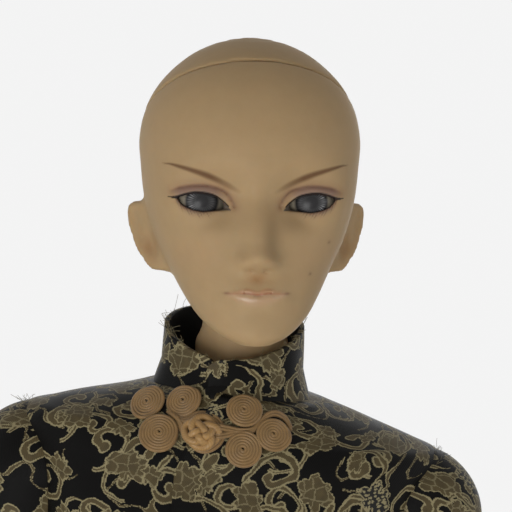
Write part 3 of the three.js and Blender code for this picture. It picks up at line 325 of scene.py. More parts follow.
def maths(operation, a, b=0.0):
    """One step of arithmetic in the shader of its values."""
    tree = (a if isinstance(a, Number) else b).socket.id_data
    return Number(node(tree, "ShaderNodeMath", {"operation": operation}, i0=a, i1=b).outputs[0])


def blend_colour(tree, share, a, b, mode="MIX"):
    """Mix of two colours, as sockets or as linear colours."""
    settings = {"data_type": "RGBA", "blend_type": mode}
    return node(tree, "ShaderNodeMix", settings, i0=share, i6=a, i7=b).outputs[2]


def attribute(tree, name, output):
    """What is kept on the points of a mesh."""
    return node(tree, "ShaderNodeAttribute", {"attribute_name": name}).outputs[output]


def object_noise(tree, scale, detail=3.0):
    """Noise in the doll's own space."""
    space = node(tree, "ShaderNodeTexCoord").outputs["Object"]
    return Number(node(tree, "ShaderNodeTexNoise", Vector=space, Scale=scale, Detail=detail).outputs[0])


def spread(tree, value, low, high):
    """Value from 0 to 1 brought to a range."""
    return Number(node(tree, "ShaderNodeMapRange", Value=value, To_Min=low, To_Max=high).outputs[0])


def raised(tree, height, strength, distance):
    """Normal of a surface with a fine relief."""
    return node(tree, "ShaderNodeBump", Strength=strength, Distance=distance, Height=height).outputs[0]


RESIN_SHINE, LIP_SHINE, LIP_GLOSS = 0.14, 0.4, 0.26


def resin_material(name, painted=False):
    """Matt cast resin, on the head with the colours that are painted on it, painted shade among them."""
    material, tree, shader = new_material(name)
    style = bpy.context.scene.doll_head
    mottle = spread(tree, object_noise(tree, 260), 0.95, 1.05)
    rough = spread(tree, object_noise(tree, 900), style.roughness - 0.05, style.roughness + 0.05)
    base, shine = shade_of(style.skin), RESIN_SHINE
    if painted:
        base = attribute(tree, "Paint", "Color")
        gloss = Number(attribute(tree, "Gloss", "Fac"))
        rough = rough - gloss * LIP_GLOSS
        shine = gloss * LIP_SHINE + RESIN_SHINE
    feed(tree, shader, Base_Color=blend_colour(tree, 1.0, base, mottle, "MULTIPLY"), Roughness=rough,
         Specular_IOR_Level=shine, Subsurface_Weight=0.25, Subsurface_Radius=(1.0, 0.5, 0.25),
         Subsurface_Scale=0.006, Normal=raised(tree, object_noise(tree, 1500), 0.06, 0.0004))
    return material


# Head, in its own frame: chin at z = 0, face towards -Y. It is turned about Z, X and Y, in degrees.
HEAD_PIVOT = np.array([0, 2, 10.5])
HEAD_TURN = (4, -4, -6)
HEAD_TOP = 90.5
HEAD_ROWS = [
    (0.3, -27, 4.5, 6, 6, 2), (3, -25, 9.6, 9.6, 12, 2.1), (8, -17, 15, 17.8, 20, 2.2),
    (15, -8, 19.6, 26.6, 30, 2.3), (23, -2, 23.8, 31.5, 33, 2.3), (32, 1, 28, 34, 35, 2.3),
    (43, 2, 31, 35.2, 37, 2.3), (53, 2, 32.2, 37.4, 38, 2.25), (61, 2, 32.6, 37.4, 38, 2.2),
    (70, 2, 30.6, 34.5, 36, 2.15), (78, 2, 25.8, 29, 31, 2.1), (85, 2, 18, 20, 22, 2),
    (89, 2, 9.6, 10.5, 12, 2), (HEAD_TOP, 2, 2.2, 2.4, 2.6, 2),
]
HEAD_WALL = 5
NECK_BALL = 13.5
CAP_SLOPE = math.radians(31)
CAP_FRONT = (-21, 82.5)
EYE_AT = np.array([15.6, -20.8, 42.3])
EYE_RADIUS = 8.2
THROAT_SLOPE = math.tan(math.radians(61))

# Lines of the face as (x, z), for one side
UPPER_LID = [
    (7.6, 40.0), (9.5, 42.0), (11.6, 43.45), (13.6, 44.1), (15.6, 44.4), (17.8, 44.4), (20.2, 43.95),
    (22.6, 43.1),
]
LOWER_LID = [
    (7.6, 40.0), (9.8, 40.0), (11.8, 39.8), (13.6, 39.6), (15.8, 39.55), (18.6, 40.15), (21.0, 41.3),
    (22.6, 43.1),
]
CREASE = [
    (24.0, 45.3), (21.8, 46.15), (17.9, 46.8), (14.4, 46.8), (11, 46.0), (9, 45.0), (7.3, 43.0),
    (6.4, 40.8),
]
LINER = [
    (8.2, 41.0), (9.5, 42.2), (11.6, 43.7), (13.6, 44.35), (15.6, 44.65), (17.8, 44.65), (20.2, 44.15),
    (22.6, 43.4), (25.2, 43.6),
]
BROW = [
    (26.8, 53.0), (24.6, 52.8), (22.4, 52.2), (19, 51.2), (15.6, 50.1), (12.3, 48.8), (9.1, 47.3),
    (6.6, 45.9), (4.6, 44.7),
]
LIP_TOP = [(0, 17.2), (1.4, 17.6), (3.0, 17.95), (5.2, 17.5), (7.4, 17.0), (9.4, 16.6)]
LIP_LINE = [(0, 16.3), (1.6, 16.5), (3.2, 16.7), (5.6, 16.55), (7.6, 16.5), (9.5, 16.6)]
LIP_BOTTOM = [(0, 12.9), (2.4, 13.1), (4.8, 13.9), (7.2, 15.3), (9.4, 16.5)]
# Height, how far the nose stands out there, and its half width
NOSE_ROWS = [
    (20.6, 0.0, 5.0), (22.4, 1.6, 5.0), (24.0, 4.4, 5.0), (25.4, 6.5, 5.0), (26.8, 7.0, 5.0),
    (28.4, 6.5, 4.8), (31, 5.2, 4.6), (35, 4.1, 4.7), (39, 3.2, 5.0), (43, 2.5, 5.4), (47, 1.7, 6.2),
    (51, 0.8, 7.0), (56, 0.0, 8.0),
]
# Place, size and height of the soft swellings of the face
FACE_SWELLS = (
    ((0, 6.0), (7, 4.4), 0.7), ((0, 11.2), (6.5, 1.7), -0.3), ((0, 17.0), (10.5, 6.0), 1.2),
    ((10.6, 16.8), (2.2, 2.6), -0.5), ((17.5, 30.5), (8, 6.5), 0.5), ((0, 20.4), (1.3, 1.8), -0.4),
    ((23.0, 43.0), (6.5, 9.0), 2.2),
)
CHIN_LIFT = 1.5
EAR_OUTLINE = [
    (-3, 8.4), (6, 8.9), (10.6, 8.8), (12.6, 7.9), (13.3, 6.0), (12.6, 2.4), (9.4, -3.8), (5.4, -9.2),
    (2.6, -11.1), (-3, -11.4),
]
# Two small dark spots on the doll's left cheek
SPOTS = [(21.2, 30.9), (15.5, 22.0)]
# Paints of the face, with the painted shade under the eyes and beside the nose, as 0 to 255
PAINTS = {
    "cheek": (176, 122, 92), "philtrum": (146, 100, 58), "painted shade under eye": (112, 88, 58),
    "painted shade beside nose": (112, 86, 56), "ear": (140, 100, 66), "upper lid": (126, 106, 101),
    "crease": (104, 76, 62), "crease shade": (132, 92, 74), "lower lid": (106, 78, 73),
    "lower rim": (40, 26, 24), "lashes": (66, 46, 44), "liner": (20, 13, 14), "lid edge": (44, 31, 27),
    "inner corner": (112, 100, 88), "brow": (88, 56, 34), "upper lip": (166, 114, 80),
    "lower lip": (178, 132, 102), "lip line": (148, 90, 60), "mouth corner": (100, 66, 46),
    "nostril": (134, 92, 66), "spot": (92, 62, 46),
}


def head_matrix():
    """Turn of the head on its neck."""
    z, x, y = (Matrix.Rotation(math.radians(a), 3, n) for a, n in zip(HEAD_TURN, "ZXY"))
    return np.array(z @ x @ y)


def head_to_doll(points):
    """Points in the head's own frame brought to the doll's."""
    return (points - HEAD_PIVOT) @ head_matrix().T + NECK


LINE_STEPS, GAP_STEPS = 80, 60


def line_at(points, x):
    """Height of a drawn line at x, on a smooth curve through its points."""
    dense = through(points, np.linspace(0, 1, LINE_STEPS))
    order = np.argsort(dense[:, 0])
    return np.interp(x, dense[order, 0], dense[order, 1])


def line_distance(points, x, z):
    """Distance from (x, z) to a drawn line, and the share of the way along it."""
    dense = through(points, np.linspace(0, 1, GAP_STEPS))
    best = np.full(np.broadcast(x, z).shape, 1e3, np.float32)
    share = np.zeros_like(best)
    for k in range(GAP_STEPS - 1):
        (ax, az), (bx, bz) = dense[k], dense[k + 1]
        way = (bx - ax, bz - az)
        t = np.clip(((x - ax) * way[0] + (z - az) * way[1]) / (way[0] ** 2 + way[1] ** 2 + 1e-9), 0, 1)
        gap = np.sqrt((x - ax - t * way[0]) ** 2 + (z - az - t * way[1]) ** 2)
        closer = gap < best
        best = np.where(closer, gap, best)
        share = np.where(closer, (k + t) / (GAP_STEPS - 1), share)
    return best, share


def eye_opening(x, z):
    """Negative inside the almond between the lids."""
    upper, lower = line_at(UPPER_LID, x), line_at(LOWER_LID, x)
    inside = np.maximum(z - upper, lower - z) * 0.8
    ends = np.maximum(UPPER_LID[0][0] - x, x - UPPER_LID[-1][0])
    return np.maximum(inside, ends)


def lips_mask(x, z):
    """Swell of the upper and lower lip at a point of the face, each from 0 to 1."""
    top, line, bottom = (line_at(c, x) for c in (LIP_TOP, LIP_LINE, LIP_BOTTOM))
    wide = 1 - step_over(x, 7.2, 9.6)
    up = np.clip((z - line) / np.maximum(top - line, 0.2), 0, 1)
    down = np.clip((line - z) / np.maximum(line - bottom, 0.2), 0, 1)
    return np.sin(math.pi * up ** 0.8) * wide, np.sin(math.pi * down ** 0.75) * wide


def outline_field(outline, u, v):
    """Signed distance to a closed outline, negative inside."""
    ring = np.array(outline, float)
    best = np.full(np.broadcast(u, v).shape, 1e3, np.float32)
    inside = np.zeros(best.shape, bool)
    for (au, av), (bu, bv) in zip(ring, np.roll(ring, -1, 0)):
        way = (bu - au, bv - av)
        t = np.clip(((u - au) * way[0] + (v - av) * way[1]) / (way[0] ** 2 + way[1] ** 2), 0, 1)
        best = np.minimum(best, np.sqrt((u - au - t * way[0]) ** 2 + (v - av - t * way[1]) ** 2))
        crosses = ((av > v) != (bv > v)) & (u < au + way[0] * (v - av) / (way[1] if way[1] else 1e-9))
        inside ^= crosses
    return np.where(inside, -best, best)


def ear_field(x, y, z):
    """Ear on the side +X: a flat plate with a soft rim and a bowl, narrowing to the lobe on the jaw."""
    root, flare = (26.2, 2.6, 32.6), math.radians(40)
    dx, dy = x - root[0], y - root[1]
    u = dx * math.cos(flare) + dy * math.sin(flare)
    n = dx * math.sin(flare) - dy * math.cos(flare) + 0.012 * u * u
    v = z - root[2]
    edge = outline_field(EAR_OUTLINE, u + 0 * v, v + 0 * u) - 0.3
    plate = soft_max(edge, np.abs(n + 0.3) - 1.7, 1.8)
    rim = np.sqrt((edge + 1.5) ** 2 + (n - 0.9) ** 2) - 1.0
    ear = soft_min(plate, np.where(v > -7, rim, 9), 1.4)
    bowl = np.sqrt(((u - 3.6 - 0.25 * v) / 2.5) ** 2 + ((v + 3.4) / 4.6) ** 2 + ((n - 2.3) / 2.7) ** 2)
    ear = soft_max(ear, (1 - bowl) * 2.5, 1.2)
    fold = np.sqrt(((u - 7.6 - 0.3 * v) / 1.5) ** 2 + ((v - 2.6) / 4.4) ** 2 + ((n - 2.2) / 1.3) ** 2)
    return soft_max(ear, (1 - fold) * 1.3, 1.2)


def head_field(xs, ys, zs):
    """Whole head: skull, sockets, lids, nose, lips and ears, hollow inside."""
    x, y, z = open_grid(xs, ys, zs)
    ax = np.abs(x)
    skull = loft(HEAD_ROWS, x, y, z - CHIN_LIFT * (1 - step_over(z, 0, 13)))
    # Cheeks, jaw and brow over the plain lofted skull
    front = (y < 0)
    flat_x, flat_z = np.abs(xs)[:, None], zs[None, :]
    relief = np.zeros((len(xs), len(zs)), np.float32)

    def bump(at, size, height):
        """Soft swelling of the face."""
        gap = ((flat_x - at[0]) / size[0]) ** 2 + ((flat_z - at[1]) / size[1]) ** 2
        return height * np.exp(-gap)

    for swell in FACE_SWELLS:
        relief += bump(*swell)
    nose = np.array(NOSE_ROWS)
    rise, wide = (np.interp(flat_z, nose[:, 0], nose[:, k]) for k in (1, 2))
    relief += rise * np.exp(-((flat_x / wide) ** 2.2)) + bump((4.4, 25.2), (2.0, 1.8), 1.3)
    upper, lower = lips_mask(flat_x, flat_z)
    relief += 0.6 * upper + 0.5 * lower
    lip_gap = np.abs(flat_z - line_at(LIP_LINE, flat_x))
    relief -= 0.6 * np.exp(-((lip_gap / 0.3) ** 2)) * (1 - step_over(flat_x, 8.4, 10.2))
    crease, _ = line_distance(CREASE, flat_x, flat_z)
    head = skull - np.where(front, relief[:, None, :], 0) * step_over(-y, 2, 18)
    # Eye sockets with lids lying over the eyes
    socket = ellipsoid(np.sqrt(x * x + 8), y, z, (15.2, -38.9, 43.8), (11.4, 9.4, 6.2))
    head = soft_max(head, -socket, 7.0)
    lid = ball(ax, y, z, EYE_AT, EYE_RADIUS + 1.35)
    head = soft_min(head, lid, 2.2)
    groove = (0.5 * np.exp(-((crease / 0.5) ** 2)))[:, None, :]
    head = head + np.where(front, groove, 0) * step_over(-y, 10, 20)
    nostril = ellipsoid(ax, y, z, (2.3, -35.4, 22.9), (1.0, 0.9, 0.55))
    head = soft_max(head, -nostril, 0.7)
    # Ears
    ys_ear = (ys > -12) & (ys < 18)
    zs_ear = (zs > 18) & (zs < 45)
    block = np.ix_(np.ones(len(xs), bool), ys_ear, zs_ear)
    ears = ear_field(ax, y[:, ys_ear], z[:, :, zs_ear])
    head[block] = soft_min(head[block], ears, 2.2)
    # Openings
    opening = eye_opening(flat_x, flat_z).astype(np.float32)[:, None, :]
    deep = np.clip((ax - UPPER_LID[0][0]) * 1.3 + 0.7, 0.7, 20)
    opening = np.maximum(opening, np.maximum(y - (-31.5 + 0.12 * ax + deep), y + 0 * ax))
    head = soft_max(head, -opening, 0.45)
    eyes = ball(ax, y, z, EYE_AT, EYE_RADIUS + 0.15)
    well = np.sqrt((ax - EYE_AT[0]) ** 2 + (z - EYE_AT[2]) ** 2) - EYE_RADIUS - 0.15
    well = np.maximum(well, -(y - EYE_AT[1]))
    head = np.maximum(head, -np.minimum(eyes, np.maximum(well, y)))
    # Hollow, neck socket and throat
    hollow_rows = np.subtract(HEAD_ROWS[4:12], (0, 0, HEAD_WALL, HEAD_WALL, HEAD_WALL, 0))
    head = np.maximum(head, -loft(hollow_rows, x, y, z))
    head = soft_max(head, -ball(x, y, z, HEAD_PIVOT, NECK_BALL + 0.3), 0.5)
    below = HEAD_PIVOT[2] - z
    throat = np.sqrt(x * x + (y - HEAD_PIVOT[1]) ** 2) - below * THROAT_SLOPE
    head = soft_max(head, -np.maximum(throat / math.hypot(1, THROAT_SLOPE), -below), 1.2)
    return head


def head_paint(points):
    """Colour and gloss of the head at each point: the paint of the casting, with painted shade under the
    eyes and beside the nose.
    """
    x, y, z = points.T
    ax = np.abs(x)
    face = step_over(-y, 8, 16)
    colour = np.repeat(shade_of(bpy.context.scene.doll_head.skin)[None], len(points), 0)

    def tint(paint, amount):
        """Lays a paint over what is there."""
        nonlocal colour
        amount = np.clip(amount, 0, 1)[:, None]
        colour = colour * (1 - amount) + linear(PAINTS[paint]) * amount

    def spot(at, size, across=ax):
        """Soft round patch, on both sides unless told otherwise."""
        return np.exp(-((across - at[0]) / size[0]) ** 2 - ((z - at[1]) / size[1]) ** 2)

    tint("cheek", 0.06 * face * spot((17, 27), (8, 6)))
    tint("philtrum", 0.6 * face * spot((0, 20.8), (2.8, 1.4)))
    # Painted shade under the inner eyes, stronger on the doll's left, the side away from the key lamp
    shaded_side = np.where(x > 0, 1.0, 0.6)
    tint("painted shade under eye", 0.34 * shaded_side * face * spot((10.5, 36.4), (4.6, 3.2)))
    # Painted shade on the doll's left of the nose, on that side only
    tint("painted shade beside nose", 0.3 * face * spot((4.0, 33), (2.2, 5.0), x))
    tint("ear", 0.30 * spot((29.5, 28.2), (3.0, 4.0)) * (y > -8))
    # Shadow between the lid and the crease
    to_crease, along_crease = line_distance(CREASE, ax, z)
    lid_top = line_at(UPPER_LID, np.clip(ax, 7.6, 22.6))
    crease_top = line_at(CREASE, np.clip(ax, 6.4, 24))
    over_lid = step_over(z, lid_top - 0.3, lid_top + 0.5)
    over_lid = over_lid * (1 - step_over(z, crease_top - 0.5, crease_top + 0.5))
    tint("upper lid", 0.72 * face * over_lid * step_over(ax, 7.5, 13) * (1 - step_over(ax, 21.5, 24.5)))
    fade = np.interp(along_crease, [0, 0.15, 0.8, 1], [0.2, 1, 0.9, 0.3])
    tint("crease", 0.66 * face * np.exp(-((to_crease / 0.42) ** 2)) * fade)
    tint("crease shade", 0.36 * face * np.exp(-((to_crease / 1.5) ** 2)))
    # Lower lid: a dark rim, shade and drawn lashes
    inside_eye = step_over(ax, 8, 10.5) * (1 - step_over(ax, 22.4, 23.4))
    low = line_at(LOWER_LID, np.clip(ax, 7.6, 22.6))
    under = low - z
    outward = step_over(ax, 12, 19)
    shade = np.exp(-((np.maximum(under, 0) / 1.3) ** 2)) * (under > -0.6)
    tint("lower lid", (0.25 + 0.5 * outward) * face * inside_eye * shade)
    tint("lower rim", 0.75 * face * inside_eye * np.exp(-(((under - 0.05) / 0.3) ** 2)))
    lash_way = ax + 0.6 * under
    strokes = 0.5 + 0.5 * np.sin(lash_way * 6.6)
    reach = 1.5 + 0.55 * np.sin(lash_way * 2.3)
    lash = step_over(strokes, 0.5, 0.9) * (under > -0.2) * (1 - step_over(under, 0.6 * reach, 1.3 * reach))
    tint("lashes", 0.45 * face * lash * step_over(ax, 11, 15) * (ax < 23.4))
    # Upper liner with its wing
    to_liner, along = line_distance(LINER, ax, z)
    thick = np.interp(along, [0, 0.25, 0.6, 0.85, 1], [0.2, 0.32, 0.5, 0.55, 0.05])
    tint("liner", 0.97 * face * (1 - step_over(to_liner, thick * 0.7, thick * 1.25 + 0.06)))
    inside = eye_opening(ax, z) < 0.1
    tint("lid edge", 0.9 * face * inside)
    tint("inner corner", 0.85 * face * inside * (1 - step_over(ax, 9.5, 12.5)))
    # Brows, softly shaded
    to_brow, along = line_distance(BROW, ax, z)
    width = np.interp(along, [0, 0.3, 0.55, 0.8, 1], [0.1, 0.64, 1.02, 0.86, 0.45])
    fade = np.interp(along, [0, 0.12, 0.6, 0.85, 1], [0.5, 0.92, 0.9, 0.4, 0.0])
    tint("brow", 0.92 * face * fade * (1 - step_over(to_brow, width * 0.2, width * 1.45)))
    # Lips
    top, line, bottom = (line_at(c, ax) for c in (LIP_TOP, LIP_LINE, LIP_BOTTOM))
    mouth = face * (1 - step_over(ax, 8.6, 9.8))
    upper = step_over(z, line - 0.3, line + 0.1) * (1 - step_over(z, top - 0.35, top + 0.5))
    lower = (1 - step_over(z, line - 0.2, line + 0.2)) * step_over(z, bottom - 0.9, bottom + 1.6)
    tint("upper lip", (0.56 - 0.3 * step_over(ax, 2, 8)) * mouth * upper)
    tint("lower lip", 0.26 * mouth * lower)
    gap = np.abs(z - line)
    tint("lip line", (0.72 - 0.4 * step_over(ax, 1, 7)) * mouth * np.exp(-((gap / 0.3) ** 2)))
    tint("mouth corner", 0.5 * face * spot((8.6, 16.6), (0.9, 0.4)))
    tint("nostril", 0.2 * face * spot((2.0, 23.4), (1.2, 0.6)))
    for at in SPOTS:
        tint("spot", 0.6 * face * np.exp(-(((x - at[0]) ** 2 + (z - at[1]) ** 2) / 0.2)))
    gloss = mouth * np.maximum(lower, 0.7 * upper)
    return colour, gloss


def divided(points, faces, chosen):
    """Mesh with the chosen faces split in four."""
    mesh = bmesh.new()
    verts = [mesh.verts.new(p) for p in points]
    mesh.verts.index_update()
    made = [mesh.faces.new([verts[i] for i in f]) for f in faces]
    edges = {e for f, c in zip(made, chosen) if c for e in f.edges}
    bmesh.ops.subdivide_edges(mesh, edges=list(edges), cuts=1, use_grid_fill=True, smooth=0.0)
    mesh.verts.index_update()
    out = np.array([v.co for v in mesh.verts])
    rings = [[v.index for v in f.verts] for f in mesh.faces]
    mesh.free()
    return out, rings


def head_grid():
    """Grid over the head, finest on the face."""
    fine = bpy.context.scene.doll_head.face_grid / MM
    xs = axis_grid(-41.5, 41.5, fine * 1.15)
    ys = axis_grid(-44.5, 42, fine, fine * 2.2, -13)
    zs = axis_grid(-1.2, HEAD_TOP + 1.5, fine, fine * 1.9, 60)
    return xs, ys, zs


SEAM_HALF = 0.12


class DOLL_OT_head(bpy.types.Operator):
    """Cast the head with its painted face, and the cap that lifts off it"""
    bl_idname = "doll.head"
    bl_label = "Head"

    def execute(self, context):
        xs, ys, zs = head_grid()
        whole = head_field(xs, ys, zs)
        _, y, z = open_grid(xs, ys, zs)
        plane = (y - CAP_FRONT[0]) * math.sin(CAP_SLOPE) + (z - CAP_FRONT[1]) * math.cos(CAP_SLOPE)
        material = resin_material("Painted resin", painted=True)
        for name, field, body in (
            ("head_shell", soft_max(whole, plane + SEAM_HALF, 0.7), "head"),
            ("head_cap", soft_max(whole, SEAM_HALF - plane, 0.9), "head_cap"),
        ):
            points, faces = skin_of(field, xs, ys, zs)
            points = evened(points, faces)
            if body == "head":
                middle = points[faces].mean(1)
                ax = np.abs(middle[:, 0])
                eyes = (ax > 4) & (ax < 29) & (middle[:, 2] > 36.5) & (middle[:, 2] < 55)
                mouth = (ax < 11.5) & (middle[:, 2] > 12.5) & (middle[:, 2] < 20.5)
                points, faces = divided(points, faces, (eyes | mouth) & (middle[:, 1] < -17))
            colour, gloss = head_paint(points)
            obj = mesh_object(f"{name}_cast", head_to_doll(points), faces, material)
            colour_layer(obj, "Paint", colour)
            value_layer(obj, "Gloss", gloss)
            place(obj, body, name, slot="resin")
        return {"FINISHED"}


EYE_AROUND, IRIS_RINGS, WHITE_RINGS, EYE_DOME = 120, 34, 12, 0.55
# Paints of the eye, as 0 to 255
PUPIL_CENTRE, PUPIL, IRIS, IRIS_RIM, EYE_WHITE = (
    np.array(rgb) for rgb in ((8, 7, 6), (36, 35, 36), (72, 71, 72), (58, 54, 51), (130, 122, 106)))


def eye_mesh(side):
    """Half-round eye: white, streaked iris and pupil, with a low dome over the iris and a flat back."""
    style = bpy.context.scene.doll_eyes
    iris, pupil = style.iris / MM, style.pupil / MM
    around = EYE_AROUND
    turn = np.linspace(0, 2 * math.pi, around, endpoint=False)
    lean = np.concatenate([np.linspace(0.02, 0.62, IRIS_RINGS), np.linspace(0.66, 1.55, WHITE_RINGS)])
    points, colours = [(0, -EYE_RADIUS - EYE_DOME, 0)], [PUPIL_CENTRE]
    for a in lean:
        r = EYE_RADIUS * math.sin(a)
        dome = EYE_DOME * max(0, 1 - (r / (iris * 1.12)) ** 2)
        for t in turn:
            points.append((r * math.cos(t), -EYE_RADIUS * math.cos(a) - dome, r * math.sin(t)))
            streak = 0.55 + 0.18 * math.sin(29 * t + 1.3 * side + 0.8 * r)
            streak += 0.22 * math.sin(47 * t + 2.1 + 2.0 * r)
            flare = math.exp(-(((math.cos(t) * side - 0.86) / 0.16) ** 2) - ((r - iris * 0.78) / 0.9) ** 2)
            glint = 120 * flare * max(0, math.sin(34 * t)) ** 2
            if r < pupil:
                shade = PUPIL
            elif r < iris:
                share = (r - pupil) / (iris - pupil)
                light = (0.3 + 0.7 * streak) * (1 - abs(share - 0.55) * 0.7)
                shade = IRIS * light * (1 - 0.4 * max(0, (share - 0.75) / 0.25)) + 12
            else:
                fade = min(1, (r - iris) / 0.6)
                shade = EYE_WHITE * fade + IRIS_RIM * (1 - fade)
            colours.append(shade + glint)
    faces = [[0, 1 + k, 1 + (k + 1) % around] for k in range(around)]
    faces += (grid_faces(len(lean), around, True)[:, ::-1] + 1).tolist()
    faces.append([len(points) - 1 - k for k in range(around)])
    return np.array(points), faces, linear(np.clip(np.array(colours), 0, 255))


class DOLL_OT_eyes(bpy.types.Operator):
    """Set the glass eyes behind the lids"""
    bl_idname = "doll.eyes"
    bl_label = "Eyes"

    def execute(self, context):
        material, tree, shader = new_material("Eye glass")
        veins = spread(tree, object_noise(tree, 1800), 0.9, 1.06)
        colour = blend_colour(tree, 1.0, attribute(tree, "Paint", "Color"), veins, "MULTIPLY")
        feed(tree, shader, Base_Color=colour, Roughness=0.38, Specular_IOR_Level=0.18, Coat_Weight=0.12,
             Coat_Roughness=0.2)
        for name, side in SIDES:
            points, faces, colours = eye_mesh(side)
            points = points + EYE_AT * (side, 1, 1)
            obj = mesh_object(f"eye_{name}_glass", head_to_doll(points), faces, material)
            colour_layer(obj, "Paint", colours)
            place(obj, "head", f"eye_{name}", slot="eye_glass")
        return {"FINISHED"}


# Castings below the head, as fields with the doll's middle at y = 0
SHOULDER_Z, NECK_Z, CHEST_Z, WAIST_Z, HIP_Z = SHOULDER[2], NECK[2], CHEST[2], WAIST[2], HIP[2]
HIP_X, SHOULDER_X = HIP[0], SHOULDER[0]
ARM_LEAN = math.radians(9)
ELBOW_DROP, WRIST_DROP = -104.0, -198.0
ROOM = 0.3
CHEST_ROWS = [
    (CHEST_Z + 8, 0, 41, 28, 26, 2.3), (CHEST_Z + 22, 0, 44, 32, 29, 2.3),
    (SHOULDER_Z - 32, 0, 47, 35, 32, 2.4), (SHOULDER_Z - 16, 0, 48.5, 34, 33, 2.4),
    (SHOULDER_Z, 1, 50, 30, 31, 2.4), (SHOULDER_Z + 12, 2, 42, 24, 27, 2.2),
    (SHOULDER_Z + 20, 2, 29, 19, 23, 2.1), (SHOULDER_Z + 28, 2, 17.5, 15, 18, 2),
    (NECK_Z - 22, 2, 13.5, 12.6, 14, 2), (NECK_Z - 10, 2, 12.4, 11.8, 12.6, 2),
    (NECK_Z - 2, 2, 12.6, 12.6, 12.6, 2),
]
ABDOMEN_ROWS = [
    (WAIST_Z - 4, 0, 24, 22, 21, 2), (WAIST_Z + 4, 0, 29, 23.5, 22, 2.1),
    (WAIST_Z + 16, 0, 31, 23.5, 22, 2.2), (CHEST_Z - 4, 0, 29, 23.5, 22, 2.1),
    (CHEST_Z + 3, 0, 25, 23, 22, 2),
]
PELVIS_ROWS = [
    (HIP_Z - 25, 2, 6, 9, 11, 2), (HIP_Z - 17, 2, 22, 20, 24, 2.2), (HIP_Z - 3, 2, 44, 28, 34, 2.3),
    (HIP_Z + 14, 1, 51, 31, 35, 2.4), (HIP_Z + 28, 0, 50, 31, 33, 2.4), (HIP_Z + 42, 0, 46, 29, 28, 2.3),
    (WAIST_Z - 9, 0, 42, 27, 25, 2.3),
]
KNEE_TOP, KNEE_LOW, ANKLE_Z = UPPER_KNEE[2], LOWER_KNEE[2], ANKLE[2]
THIGH_ROWS = [
    (KNEE_TOP + 3, 0, 16.5, 16.5, 15.5, 2.1), (KNEE_TOP + 21, 0, 18, 18, 16.8, 2),
    (KNEE_TOP + 50, 0, 21.5, 22, 20.5, 2), (KNEE_TOP + 85, 0, 24.5, 25, 24, 2),
    (KNEE_TOP + 120, 0, 25.2, 25.6, 25.6, 2), (HIP_Z, 0, 24.7, 24.7, 24.7, 2),
]
KNEE_ROWS = [
    (KNEE_LOW, 0, 12.4, 14, 10.5, 2), (KNEE_LOW + 9, 0, 12.4, 14.6, 10, 2), (KNEE_TOP, 0, 12.4, 14, 10.5, 2),
]
SHIN_ROWS = [
    (ANKLE_Z + 3, 0, 11.6, 11.6, 11.6, 2), (ANKLE_Z + 15, 0, 11, 11, 11.4, 2),
    (ANKLE_Z + 41, 0, 12, 12, 13, 2), (ANKLE_Z + 75, 0, 15.6, 14.4, 18.6, 2),
    (ANKLE_Z + 108, 0, 17.4, 15.6, 19.4, 2), (KNEE_LOW - 3, 0, 16.4, 16.4, 15.8, 2.1),
]
UPPER_ARM_ROWS = [
    (ELBOW_DROP - 1, 0, 10.8, 10.8, 10.8, 2), (ELBOW_DROP + 17, 0, 10.6, 10.8, 11, 2),
    (ELBOW_DROP + 43, 0, 11.6, 12.4, 11.6, 2), (ELBOW_DROP + 75, 0, 12.4, 12.8, 12.4, 2),
    (0, 0, 12.7, 12.7, 12.7, 2),
]
FOREARM_ROWS = [
    (WRIST_DROP + 2.5, 0, 7.6, 7.8, 7.8, 2), (WRIST_DROP + 12, 0, 7.2, 7.8, 7.8, 2),
    (WRIST_DROP + 36, 0, 8.6, 9, 8.8, 2), (WRIST_DROP + 64, 0, 10.4, 10.4, 10.2, 2),
    (ELBOW_DROP - 10, 0, 8.7, 8.7, 8.7, 2), (ELBOW_DROP, 0, 8.7, 8.7, 8.7, 2),
]
FOOT_ROWS = [
    (0.4, 9, 3.5, 5, 5, 2), (4, 10, 9, 9, 10, 2.1), (12, 10.5, 12.4, 11, 13, 2.2),
    (24, 10.5, 13.4, 11, 16, 2.2), (36, 10, 14.2, 11, 15, 2.2), (48, 9.5, 15.6, 10, 12.4, 2.3),
    (60, 8, 17, 8.4, 9.8, 2.3), (70, 7, 17, 7.4, 7.2, 2.4), (78, 6, 14.6, 6.2, 5.4, 2.4),
]
# Place across, reach from the heel and radius of each toe
TOES = [(-11.4, 88, 5.2), (-3.4, 86, 4.0), (3.0, 83.5, 3.8), (8.6, 80, 3.6), (13.2, 75.5, 3.4)]
# Radii of the joints' balls, and of the holes for the cord
SHOULDER_BALL, ELBOW_BALL, WRIST_BALL = 13, 9, 6.2
CHEST_BALL, WAIST_BALL, HIP_BALL, HIP_SWEEP, KNEE_BALL, ANKLE_BALL = 27, 26, 25, 27, 14.5, 9.5
NECK_BORE, CORD_BORE = 5.5, 2.2
HEEL = 25
# Swing and spread, in degrees, of the poses that the sockets leave room for
ARM_SWEEPS = ((0, 9), (45, 9), (90, 9), (-40, 9))
LEG_SWEEPS = ((0, 0), (45, 0), (90, 0), (-15, 0), (90, 35), (30, 35))
# Lengths of the fingers
FINGERS = (27, 30, 28, 22)


SWEEP_REACH = 60


def swept(x, y, z, at, radius, poses):
    """Field of the room that a limb needs round its ball, on the side +X."""
    room = ball(x, y, z, at, radius)
    for swing, out in poses:
        s, w = math.radians(out), math.radians(swing)
        way = (math.sin(s), -math.cos(s) * math.sin(w), -math.cos(s) * math.cos(w))
        end = np.add(at, np.multiply(way, SWEEP_REACH))
        room = np.minimum(room, cone(x, y, z, at, end, radius, radius))
    return room


def bore(x, y, at, radius):
    """Field of an upright hole."""
    return np.sqrt((x - at[0]) ** 2 + (y - at[1]) ** 2) - radius


